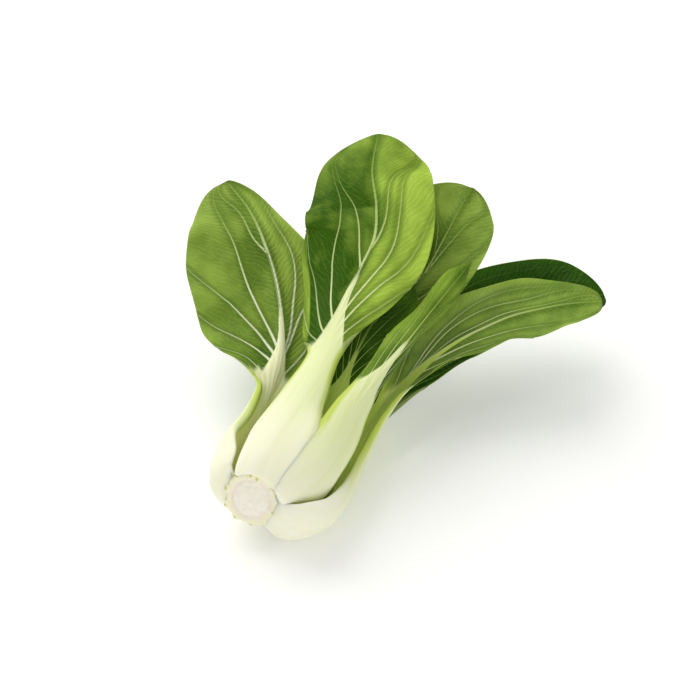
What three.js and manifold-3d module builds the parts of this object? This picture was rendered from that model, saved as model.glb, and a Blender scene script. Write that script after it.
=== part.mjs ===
// A head of bok choy lying on its side: a cut butt and a rosette of spoon-shaped leaves.
// Millimetres, +Z up, resting on z = 0.
// Each leaf is one piece: a thick pale stalk that runs out into a blade.
import * as THREE from "three";
import { mergeVertices } from "three/addons/utils/BufferGeometryUtils.js";
import Module from "manifold-3d";

// ---- driving dimensions ----
// The head's own frame: x across to the right, y along the head from the cut face, h away from the floor.
const HEAD_PITCH = THREE.MathUtils.degToRad(5); // how far the leafy end is raised
const GAP = 0.35; // clearance between neighbouring pieces
const AXIS_SHIFT = [6, -3]; // the bulb swells a little to the right of the cut face
const AXIS_SHIFT_LENGTH = 26; // and has reached that shift this far up
const BLADE_EDGE = 0.9; // thickness at a blade's margin
const BUTT_EDGE = 3; // thickness at a stalk's margin where it joins the butt
const STALK_EDGE = 1.4; // and further along the stalk
const TIP_WIDTH = 1.5; // half width left at the very tip
const BASE_START = 0.04; // the share of a leaf that is hidden under the butt's rim
const STALK_BASE = 0.22; // the share of a leaf that hugs the bulb
const SETTLING = 1.2; // how strongly cross-sections there are turned to lie across the head
const LOOK_AHEAD = 12; // the base's inner side looks at the bulb's middle line this far ahead
const BUTT_TO_STALK = [0.06, 0.26]; // where the margin thins from BUTT_EDGE to STALK_EDGE
const STALK_TO_BLADE = [0.4, 0.6]; // and from STALK_EDGE to BLADE_EDGE
const STEPS_LONG = 18; // cross-sections along a leaf
const CROWDING = 0.06; // they stand closer together towards the butt and the tip
const ACROSS = [-1, -0.74, -0.42, -0.16, 0, 0.16, 0.42, 0.74, 1]; // places across a leaf
const ARC_PARTS = 16; // straight pieces that a cross-section's arc is summed from
const TANGENT_STEP = 0.004; // how far ahead and behind a path is read for its direction
const CUT_FACING = [0.17, -0.91, 0.38]; // the knife went through a little slanted
const CUT_CLEARANCE = 14; // no leaf is left standing in front of the cut
const BUTT_PROFILE = [[8.8, 0], [11, 1.4], [11.6, 5], [9, 12], [5, 20]]; // radius, distance from the cut
const BUTT_SIDES = 24;
const PALE_STALK = 0xefe9dc;
const LEAF_GREEN = 0x7da843;

// Each leaf: path of the back of its midrib, then values along it as [share of length, ...].
// wide: half width on either side of the midrib; cup: how far either margin has turned in, in degrees;
// face: where the inner side looks; thick: thickness at the midrib; rib: half width of the thick band;
// fold: how much of the turn is close to the midrib; slant: how far either half sweeps back to the butt.
const LEAVES = {
  leaf_left: {
    path: [[-4, 5, -1], [-9, 0, -1.5], [-14, -2.5, -2], [-20, 0, -2], [-24.5, 9, -2], [-26.5, 24, -2],
      [-25.5, 44, -2], [-27, 66, -3], [-32, 88, 0], [-42, 107, 12], [-55, 121, 25], [-68, 131, 34],
      [-84, 139, 40]],
    wide: [[0, 5, 5], [0.04, 10, 8], [0.08, 18, 12], [0.13, 24, 17], [0.19, 20, 20], [0.26, 12, 19],
      [0.34, 11, 15], [0.4, 11.5, 10], [0.45, 14, 11], [0.5, 20, 15], [0.57, 28, 22], [0.65, 37.5, 26],
      [0.77, 39.5, 20], [0.87, 32.5, 11], [0.94, 22.5, 7], [0.98, 15, 5], [1, 1.5, 1.5]],
    cup: [[0, 20, 10], [0.08, 60, 35], [0.14, 70, 55], [0.22, 60, 60], [0.4, 55, 55], [0.48, 24, 42],
      [0.55, 10, 30], [1, 8, 14]],
    slant: [[0, 0, 0], [0.36, 0, 0], [0.44, 0.6, 0], [0.52, 0.6, 0], [0.62, 0.3, 0], [0.75, 0, 0],
      [0.9, -0.2, 0.1], [1, -0.4, 0.2]],
    face: [[0.3, 1, 0, 0.15], [0.5, 0.7, -0.3, 0.65], [0.7, 0.4, -0.5, 0.77], [1, 0.3, -0.5, 0.8]],
    thick: [[0, 6], [0.08, 7.5], [0.2, 7.5], [0.45, 5], [0.6, 3], [1, 1.2]],
    rib: [[0, 9], [0.2, 14], [0.45, 8], [0.6, 4], [1, 2]],
  },
  leaf_low_right: {
    path: [[3, 5, -2.5], [7, 0, -6], [12, -2, -8.5], [19, -2, -12], [26, 4, -17], [30, 15, -20.5],
      [30, 30, -21.5], [29, 50, -19], [28, 72, -15], [30, 92, -10], [38, 110, -4], [48, 126, 0],
      [60, 140, 3], [78, 153, 7], [98, 165, 9]],
    wide: [[0, 6, 5], [0.05, 10.5, 14], [0.1, 14.5, 23], [0.15, 19, 25.5], [0.2, 24, 25], [0.35, 15, 14],
      [0.46, 10, 10], [0.54, 14, 8], [0.64, 25, 11], [0.78, 25, 17], [0.9, 18, 17], [0.97, 11, 12.5],
      [1, 1.5, 1.5]],
    cup: [[0, 10, 10], [0.1, 30, 35], [0.2, 50, 62], [0.4, 55, 60], [0.6, 30, 25], [1, 12, 10]],
    face: [[0.25, -0.75, 0, 0.65], [0.5, -0.7, 0.05, 0.7], [0.7, -0.3, -0.03, 0.95],
      [1, -0.15, -0.05, 0.98]],
    thick: [[0, 6], [0.08, 7.5], [0.2, 8], [0.45, 5], [0.6, 3], [1, 1.2]],
    rib: [[0, 9], [0.2, 14], [0.45, 8], [0.6, 4], [1, 2]],
  },
  leaf_under_left: {
    path: [[-2, 4, -4], [-5, 1, -11], [-8, 3, -18], [-11, 14, -25], [-13, 36, -28], [-15, 58, -30],
      [-18, 82, -32.5], [-23, 106, -35], [-29, 130, -37], [-34, 152, -38]],
    wide: [[0, 6, 6], [0.08, 11, 11], [0.2, 19, 19], [0.35, 14, 14], [0.46, 10, 10], [0.54, 14, 14],
      [0.64, 27, 28], [0.8, 32, 34], [0.92, 24, 25], [0.97, 14, 14], [1, 1.5, 1.5]],
    cup: [[0, 10, 10], [0.15, 50, 50], [0.4, 50, 50], [0.6, 20, 6], [1, 10, 2]],
    face: [[0.25, 0.3, 0, 0.95], [0.5, 0.1, 0, 1], [1, 0.05, 0, 1]],
    thick: [[0, 6], [0.08, 7.5], [0.2, 8], [0.45, 5], [0.6, 3], [1, 1.2]],
    rib: [[0, 9], [0.2, 14], [0.45, 8], [0.6, 4], [1, 2]],
  },
  leaf_far_right: {
    path: [[1, 3, -4], [3, -1, -10], [6, 2, -18], [9, 13, -25], [12, 34, -29], [12.5, 58, -31.5],
      [17, 84, -29.5], [27, 112, -25.5], [44, 140, -19], [67, 165, -12.5], [95, 182, -8]],
    wide: [[0, 6, 6], [0.08, 10, 8], [0.18, 18, 12], [0.35, 13, 10], [0.48, 9, 7.5], [0.58, 17, 6],
      [0.72, 31, 6], [0.86, 27, 7], [0.95, 19, 6], [1, 1.5, 1.5]],
    cup: [[0, 10, 10], [0.15, 50, 50], [0.4, 50, 50], [0.6, 20, 20], [1, 10, 10]],
    face: [[0.25, -0.25, 0, 0.95], [0.5, -0.1, -0.1, 1], [0.75, 0.2, -0.45, 0.85], [1, 0.2, -0.45, 0.85]],
    thick: [[0, 6], [0.08, 7.5], [0.2, 8], [0.45, 5], [0.6, 3], [1, 1.2]],
    rib: [[0, 9], [0.2, 14], [0.45, 8], [0.6, 4], [1, 2]],
  },
  leaf_top: {
    path: [[0, 5, 3], [1, 0, 9], [1.5, -1.5, 15], [3, 4, 23], [4.5, 14, 27.5], [5, 28, 29], [5, 48, 30],
      [4.5, 69, 32], [2.5, 91, 39], [3, 105, 45], [3.4, 120, 52], [-2, 134, 58], [-11, 149, 63],
      [-18, 170, 67]],
    wide: [[0, 5, 5], [0.09, 12, 10], [0.19, 15, 14], [0.3, 12, 11], [0.42, 6.5, 8.5], [0.48, 8.5, 14],
      [0.56, 17, 20.8], [0.62, 21.5, 26.5], [0.68, 25, 32], [0.74, 26, 32.6], [0.8, 27, 32],
      [0.88, 27, 26.2],
      [0.94, 22, 19], [1, 1.5, 1.5]],
    cup: [[0, 10, 10], [0.15, 50, 50], [0.4, 40, 40], [0.55, 25, 35], [0.75, 10, 20], [1, 10, 10]],
    slant: [[0, 0, 0], [0.42, 0, 0.1], [0.48, 0.1, 0.4], [0.56, 0.1, 0.25], [0.65, 0.1, 0.17],
      [0.72, 0.05, 0],
      [0.8, 0, 0], [0.9, -0.1, 0.1], [1, -0.1, 0.2]],
    face: [[0.3, -0.05, 0.1, -1], [0.5, 0, 0.3, -0.95], [0.75, -0.22, 0.37, -0.9], [1, -0.2, 0.4, -0.9]],
    thick: [[0, 6], [0.08, 7.5], [0.2, 7.5], [0.45, 5], [0.6, 3], [1, 1.2]],
    rib: [[0, 9], [0.2, 14], [0.45, 8], [0.6, 4], [1, 2]],
  },
  leaf_right: {
    path: [[3, 5, 3], [8, 0, 6], [14, -2, 9], [22, 3, 13], [28, 14, 17], [29.5, 30, 20], [28.5, 50, 24],
      [32, 71, 28], [37, 89, 34], [42, 105, 41], [46.5, 114, 48], [50.5, 120, 55]],
    wide: [[0, 3, 5], [0.1, 3.5, 14], [0.15, 6, 15], [0.19, 13, 15.6], [0.24, 14.3, 16], [0.4, 12, 10.5],
      [0.52, 9, 7], [0.62, 9, 9], [0.75, 7.5, 10.5], [0.88, 9.5, 8.5], [0.95, 6.5, 6], [1, 1.5, 1.5]],
    cup: [[0, 10, 10], [0.2, 45, 45], [0.45, 45, 45], [0.6, 70, 60], [1, 70, 60]],
    fold: [[0, 1], [0.5, 1], [0.65, 2.5], [1, 2.5]],
    face: [[0.3, -0.85, 0.1, -0.5], [0.6, -0.6, 0.4, -0.65], [0.8, -0.32, 0.68, -0.65],
      [1, -0.32, 0.68, -0.65]],
    thick: [[0, 6], [0.1, 7.5], [0.25, 7.5], [0.5, 5], [0.7, 3], [1, 1.2]],
    rib: [[0, 9], [0.25, 13], [0.5, 8], [0.7, 4], [1, 2]],
  },
  leaf_inner_right: {
    path: [[6, 4, 2], [12, 10, 3], [17, 25, 4], [17, 45, 5], [14, 70, 5], [11, 92, 7], [12.5, 110, 12],
      [17, 123, 18], [22.5, 133, 27], [25.5, 146, 36], [27, 160, 43], [29, 172, 49]],
    wide: [[0, 4, 4], [0.1, 9, 9], [0.2, 11, 11], [0.4, 7, 7], [0.5, 8, 8], [0.6, 14, 13], [0.75, 22, 19],
      [0.88, 22, 20], [0.96, 16, 15], [1, 1.5, 1.5]],
    cup: [[0, 25, 25], [0.15, 60, 60], [0.4, 50, 50], [0.6, 20, 20], [1, 10, 10]],
    face: [[0.25, -0.6, 0, 0.7], [0.5, -0.3, -0.2, 0.9], [0.7, 0.2, -0.5, 0.84], [1, 0.3, -0.6, 0.73]],
    thick: [[0, 4], [0.2, 6], [0.45, 4], [0.6, 2.5], [1, 1.2]],
    rib: [[0, 6], [0.2, 9], [0.45, 6], [0.6, 4], [1, 2]],
  },
  leaf_inner_gap: {
    path: [[4, 3, 6], [9, 10, 10], [13, 22, 14], [14.5, 42, 16], [14.5, 59, 17], [13.5, 73, 20],
      [14, 86, 25], [16, 98, 31], [17, 110, 37], [15, 122, 43]],
    wide: [[0, 4, 4], [0.12, 8, 8], [0.3, 8, 8], [0.45, 5, 5], [0.55, 9, 8], [0.7, 16, 14],
      [0.85, 15, 14], [1, 1.5, 1.5]],
    cup: [[0, 25, 25], [0.15, 45, 45], [0.5, 40, 40], [0.7, 25, 25], [1, 10, 10]],
    face: [[0.25, -0.5, 0, -0.8], [0.6, -0.4, 0.4, -0.8], [1, -0.3, 0.5, -0.8]],
    thick: [[0, 4], [0.2, 5], [0.45, 4], [0.6, 2.5], [1, 1.2]],
    rib: [[0, 6], [0.2, 8], [0.45, 5], [0.6, 3], [1, 2]],
  },
  leaf_inner_left: {
    path: [[-3, 4, 4], [-5, 12, 7], [-6, 26, 9], [-5, 45, 9], [-4, 63, 11], [-5, 80, 16], [-9, 96, 24],
      [-16, 108, 33], [-24, 116, 41]],
    wide: [[0, 4, 4], [0.12, 8, 8], [0.3, 9, 9], [0.45, 6, 6], [0.55, 9, 9], [0.7, 14, 11],
      [0.85, 13, 10], [1, 1.5, 1.5]],
    cup: [[0, 25, 25], [0.15, 45, 45], [0.5, 40, 40], [0.7, 25, 25], [1, 10, 10]],
    face: [[0.25, 0.8, 0, -0.5], [0.6, 0.5, 0.3, -0.75], [1, 0.4, 0.3, -0.8]],
    thick: [[0, 4], [0.2, 5], [0.45, 4], [0.6, 2.5], [1, 1.2]],
    rib: [[0, 6], [0.2, 8], [0.45, 5], [0.6, 3], [1, 2]],
  },
  leaf_inner_back: {
    path: [[-4, 4, -5], [-7, 10, -9], [-9, 24, -12], [-9, 45, -14], [-9, 70, -14], [-10, 94, -11],
      [-11, 116, -4], [-12, 134, 4], [-11, 150, 13]],
    wide: [[0, 4, 4], [0.12, 8, 8], [0.3, 9, 9], [0.45, 7, 7], [0.55, 9, 9], [0.7, 18, 18],
      [0.85, 19, 19], [0.95, 12, 12], [1, 1.5, 1.5]],
    cup: [[0, 25, 25], [0.15, 55, 55], [0.5, 50, 50], [0.7, 20, 20], [1, 10, 10]],
    face: [[0.25, 0.7, 0, 0.7], [0.6, 0.4, -0.2, 0.9], [1, 0.2, -0.5, 0.85]],
    thick: [[0, 4], [0.2, 6], [0.45, 4], [0.6, 2.5], [1, 1.2]],
    rib: [[0, 6], [0.2, 9], [0.45, 6], [0.6, 4], [1, 2]],
  },
  heart_leaf_right: {
    path: [[2, 22, 0], [5, 32, 1], [6, 50, 3], [5, 68, 6], [5, 84, 11], [7, 96, 18]],
    wide: [[0, 3, 3], [0.25, 6, 6], [0.5, 5, 5], [0.7, 9, 9], [0.85, 9, 9], [1, 1.5, 1.5]],
    cup: [[0, 25, 25], [0.3, 60, 60], [0.7, 50, 50], [1, 30, 30]],
    face: [[0.25, -1, 0, 0], [1, -0.8, -0.3, 0.4]],
    thick: [[0, 3], [0.4, 3], [0.7, 2], [1, 1.2]],
    rib: [[0, 4], [0.5, 4], [0.7, 3], [1, 2]],
  },
  heart_leaf_left: {
    path: [[0, 22, -2], [0, 32, -3], [2, 46, -3], [4, 60, -1], [5, 74, 2], [4, 86, 6]],
    wide: [[0, 3, 3], [0.25, 6, 6], [0.5, 5, 5], [0.7, 8, 8], [0.85, 8, 8], [1, 1.5, 1.5]],
    cup: [[0, 25, 25], [0.3, 60, 60], [0.7, 50, 50], [1, 30, 30]],
    face: [[0.25, 1, 0, 0], [1, 0.8, -0.3, -0.2]],
    thick: [[0, 3], [0.4, 3], [0.7, 2], [1, 1.2]],
    rib: [[0, 4], [0.5, 4], [0.7, 3], [1, 2]],
  },
};

// ---- curves through hand-set places ----
// Rows are [place, value, value, ...]; the curve passes through every row and bends evenly between them.
function slopeAt(rows, row, column) {
  const before = rows[Math.max(row - 1, 0)];
  const after = rows[Math.min(row + 1, rows.length - 1)];
  return (after[column] - before[column]) / (after[0] - before[0]);
}

function valuesAt(rows, place) {
  const last = rows.length - 1;
  let row = 0;
  while (row < last - 1 && rows[row + 1][0] < place) row += 1;
  const span = rows[row + 1][0] - rows[row][0];
  const s = THREE.MathUtils.clamp((place - rows[row][0]) / span, 0, 1);
  const values = [];
  for (let column = 1; column < rows[row].length; column += 1) {
    const start = rows[row][column];
    const end = rows[row + 1][column];
    const out = slopeAt(rows, row, column) * span;
    const into = slopeAt(rows, row + 1, column) * span;
    const bend = (2 * s * s * s - 3 * s * s + 1) * start + (s * s * s - 2 * s * s + s) * out;
    values.push(bend + (3 * s * s - 2 * s * s * s) * end + (s * s * s - s * s) * into);
  }
  return values;
}

function pathRows(points) {
  const rows = [];
  let length = 0;
  points.forEach((point, index) => {
    if (index > 0) length += new THREE.Vector3(...point).distanceTo(new THREE.Vector3(...points[index - 1]));
    rows.push([length, ...point]);
  });
  return rows.map(([at, ...point]) => [at / length, ...point]);
}

// ---- one cross-section of a leaf ----
// The middle line of the bulb at a distance y along the head.
function bulbMiddle(y) {
  const share = THREE.MathUtils.smoothstep(y, 0, AXIS_SHIFT_LENGTH);
  return new THREE.Vector3(AXIS_SHIFT[0] * share, y, AXIS_SHIFT[1] * share);
}

function frameAt(leaf, rows, place) {
  const at = new THREE.Vector3(...valuesAt(rows, place));
  const ahead = new THREE.Vector3(...valuesAt(rows, Math.min(place + TANGENT_STEP, 1)));
  const behind = new THREE.Vector3(...valuesAt(rows, Math.max(place - TANGENT_STEP, 0)));
  const settled = SETTLING * (1 - THREE.MathUtils.smoothstep(place, BASE_START, STALK_BASE));
  const along = ahead.sub(behind).normalize().add(new THREE.Vector3(0, settled, 0)).normalize();
  const faces = leaf.face;
  const set = new THREE.Vector3(...valuesAt(faces, Math.max(place, faces[0][0]))).normalize();
  const inward = bulbMiddle(at.y + LOOK_AHEAD).sub(at).normalize();
  const share = THREE.MathUtils.smoothstep(place, BASE_START, faces[0][0]);
  const face = inward.lerp(set, share);
  face.addScaledVector(along, -face.dot(along)).normalize();
  const side = new THREE.Vector3().crossVectors(along, face);
  return { at, along, face, side };
}

function sectionAt(leaf, rows, place, grow) {
  const { at, along, face, side } = frameAt(leaf, rows, place);
  const wide = valuesAt(leaf.wide, place).map((value) => Math.max(value, TIP_WIDTH) + grow);
  const cup = valuesAt(leaf.cup, place).map((value) => THREE.MathUtils.degToRad(value));
  const fold = leaf.fold ? valuesAt(leaf.fold, place)[0] : 1;
  const slant = leaf.slant ? valuesAt(leaf.slant, place) : [0, 0];
  const middle = valuesAt(leaf.thick, place)[0];
  const rib = valuesAt(leaf.rib, place)[0];
  const thinned = THREE.MathUtils.smoothstep(place, ...BUTT_TO_STALK);
  const stalkEdge = THREE.MathUtils.lerp(BUTT_EDGE, STALK_EDGE, thinned);
  const widened = THREE.MathUtils.smoothstep(place, ...STALK_TO_BLADE);
  const edge = THREE.MathUtils.lerp(stalkEdge, BLADE_EDGE, widened);
  const back = [];
  const front = [];
  ACROSS.forEach((u) => {
    const half = u < 0 ? 0 : 1;
    const point = at.clone();
    let turn = 0;
    for (let part = 0; part < ARC_PARTS; part += 1) {
      const reach = (Math.abs(u) * (part + 0.5)) / ARC_PARTS;
      turn = cup[half] * (1 - (1 - reach) ** fold);
      const length = (wide[half] * Math.abs(u)) / ARC_PARTS;
      point.addScaledVector(side, Math.sign(u) * Math.cos(turn) * length);
      point.addScaledVector(along, -slant[half] * Math.cos(turn) * length);
      point.addScaledVector(face, Math.sin(turn) * length);
    }
    turn = cup[half] * (1 - (1 - Math.abs(u)) ** fold);
    const normal = face.clone().multiplyScalar(Math.cos(turn));
    normal.addScaledVector(side, -Math.sign(u) * Math.sin(turn));
    const away = (wide[half] * Math.abs(u)) / rib;
    const thick = edge + (middle - edge) * Math.exp(-away * away);
    back.push(point.clone().addScaledVector(normal, -grow));
    front.push(point.clone().addScaledVector(normal, thick + grow));
  });
  return { back, front, along };
}

// ---- solids ----
let wasm;

function solidFrom(positions, triangles) {
  const geometry = new THREE.BufferGeometry();
  geometry.setAttribute("position", new THREE.Float32BufferAttribute(positions, 3));
  geometry.setIndex(triangles);
  const merged = mergeVertices(geometry, 1e-4);
  const made = new wasm.Manifold(new wasm.Mesh({
    numProp: 3,
    vertProperties: merged.attributes.position.array,
    triVerts: new Uint32Array(merged.index.array),
  }));
  if (made.volume() > 0) return made;
  return solidFrom(positions, triangles.slice().reverse());
}

// A ring of points per cross-section, joined into one closed skin.
function skinned(rings) {
  const positions = rings.flat().flatMap((point) => [point.x, point.y, point.z]);
  const count = rings[0].length;
  const triangles = [];
  for (let ring = 0; ring < rings.length - 1; ring += 1) {
    for (let corner = 0; corner < count; corner += 1) {
      const next = (corner + 1) % count;
      const a = ring * count + corner;
      const b = ring * count + next;
      triangles.push(a, b, a + count, b, b + count, a + count);
    }
  }
  const half = count / 2;
  const last = (rings.length - 1) * count;
  for (let corner = 0; corner < half - 1; corner += 1) {
    const far = count - 1 - corner;
    triangles.push(corner, far, corner + 1, corner + 1, far, far - 1);
    triangles.push(last + corner, last + corner + 1, last + far);
    triangles.push(last + corner + 1, last + far - 1, last + far);
  }
  return solidFrom(positions, triangles);
}

function leafSolid(leaf, grow) {
  const rows = pathRows(leaf.path);
  const rings = [];
  for (let step = 0; step <= STEPS_LONG; step += 1) {
    const even = step / STEPS_LONG;
    const place = even - CROWDING * Math.sin(2 * Math.PI * even);
    const { back, front, along } = sectionAt(leaf, rows, place, grow);
    const ring = [...back, ...front.reverse()];
    let shift = 0;
    if (step === 0) shift = -grow;
    if (step === STEPS_LONG) shift = grow;
    rings.push(ring.map((point) => point.addScaledVector(along, shift)));
  }
  return skinned(rings);
}

function buttSolid(grow, clear) {
  const [cutX, cutY, cutH] = CUT_FACING;
  const rings = BUTT_PROFILE.map(([radius, y], index) => {
    const ring = [];
    const slant = 1 - index / (BUTT_PROFILE.length - 1);
    for (let side = 0; side < BUTT_SIDES; side += 1) {
      const angle = (2 * Math.PI * side) / BUTT_SIDES;
      const x = (radius + grow) * Math.cos(angle);
      const h = (radius + grow) * Math.sin(angle);
      const cutAt = (-(cutX * x + cutH * h) / cutY) * slant;
      ring.push(new THREE.Vector3(x, y + cutAt - (index === 0 ? clear : 0), h));
    }
    return ring;
  });
  return skinned(rings);
}

function largestPiece(solid) {
  const pieces = solid.decompose();
  return pieces.reduce((most, piece) => (piece.volume() > most.volume() ? piece : most));
}

function meshOf(name, solid, colour) {
  const made = solid.getMesh();
  const geometry = new THREE.BufferGeometry();
  geometry.setAttribute("position", new THREE.BufferAttribute(made.vertProperties, 3));
  geometry.setIndex(new THREE.BufferAttribute(made.triVerts, 1));
  geometry.computeVertexNormals();
  const material = new THREE.MeshStandardMaterial({ color: colour, roughness: 0.45, metalness: 0 });
  const mesh = new THREE.Mesh(geometry, material);
  mesh.name = name;
  return mesh;
}

function buildHead() {
  const head = new THREE.Group();
  head.name = "bok_choy_head";
  const taken = [];
  const kept = (name, whole, grown, colour) => {
    let solid = whole;
    taken.forEach((other) => {
      solid = solid.subtract(other);
    });
    head.add(meshOf(name, largestPiece(solid), colour));
    taken.push(grown);
  };
  kept("stem_butt", buttSolid(0, 0), buttSolid(GAP, CUT_CLEARANCE), PALE_STALK);
  Object.entries(LEAVES).forEach(([name, leaf]) => {
    kept(name, leafSolid(leaf, 0), leafSolid(leaf, GAP), LEAF_GREEN);
  });
  head.rotation.x = HEAD_PITCH;
  const box = new THREE.Box3().setFromObject(head, true);
  const middle = box.getCenter(new THREE.Vector3());
  head.position.set(-middle.x, -middle.y, -box.min.z); // over the origin, its lowest skin on the floor
  return head;
}

wasm = await Module();
wasm.setup();

export default buildHead();
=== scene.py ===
"""A head of bok choy lying on its side: a cut butt and a rosette of spoon-shaped leaves."""
import math

import bmesh
import bpy
import numpy as np
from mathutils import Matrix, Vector


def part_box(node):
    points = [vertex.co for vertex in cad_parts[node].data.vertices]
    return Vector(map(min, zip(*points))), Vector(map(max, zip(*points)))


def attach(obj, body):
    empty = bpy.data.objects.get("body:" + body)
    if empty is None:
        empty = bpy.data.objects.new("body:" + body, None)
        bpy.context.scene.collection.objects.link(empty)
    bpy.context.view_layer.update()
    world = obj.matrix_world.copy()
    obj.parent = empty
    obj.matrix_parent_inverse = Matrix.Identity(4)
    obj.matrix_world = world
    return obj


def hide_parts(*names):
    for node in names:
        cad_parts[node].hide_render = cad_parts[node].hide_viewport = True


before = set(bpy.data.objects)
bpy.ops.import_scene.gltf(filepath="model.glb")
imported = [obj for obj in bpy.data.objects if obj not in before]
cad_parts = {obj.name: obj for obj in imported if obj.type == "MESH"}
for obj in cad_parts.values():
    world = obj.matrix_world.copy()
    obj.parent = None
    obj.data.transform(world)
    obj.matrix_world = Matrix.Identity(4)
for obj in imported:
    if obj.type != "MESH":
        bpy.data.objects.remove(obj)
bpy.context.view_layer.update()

MM = 0.001

# ---- the head's shape, in millimetres ----
# x across to the right, y along the head from the cut face, z away from the floor.
HEAD_PITCH = math.radians(5)  # how far the leafy end is raised
AXIS_SHIFT = (6, 0, -3)  # the bulb swells a little to the right of the cut face
AXIS_SHIFT_LENGTH = 26  # and has reached that shift this far up
BULB_HEART = np.array([0, 22, 0])  # what the bulb's outside is round about
TIP_ROUND = 0.94  # from here to the tip a blade's outline closes in a round
ROUND_TIP = 0.5  # the power that makes it one
LEAST_TIP = 0.0004  # the outline never closes to nothing
STALK_BASE = 0.22  # the share of a leaf that hugs the bulb
ROOT = 0.04  # the share at its very start that looks straight at the bulb's middle
LOOK_AHEAD = 12  # and that far further up
SETTLING = 1.2  # how strongly cross-sections there are turned to lie across the head
DIRECTION_STEP = 0.004  # a leaf's direction is taken over this share of its length on either side
CROWDING = 0.06  # cross-sections stand closer together towards the butt and the tip

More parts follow.
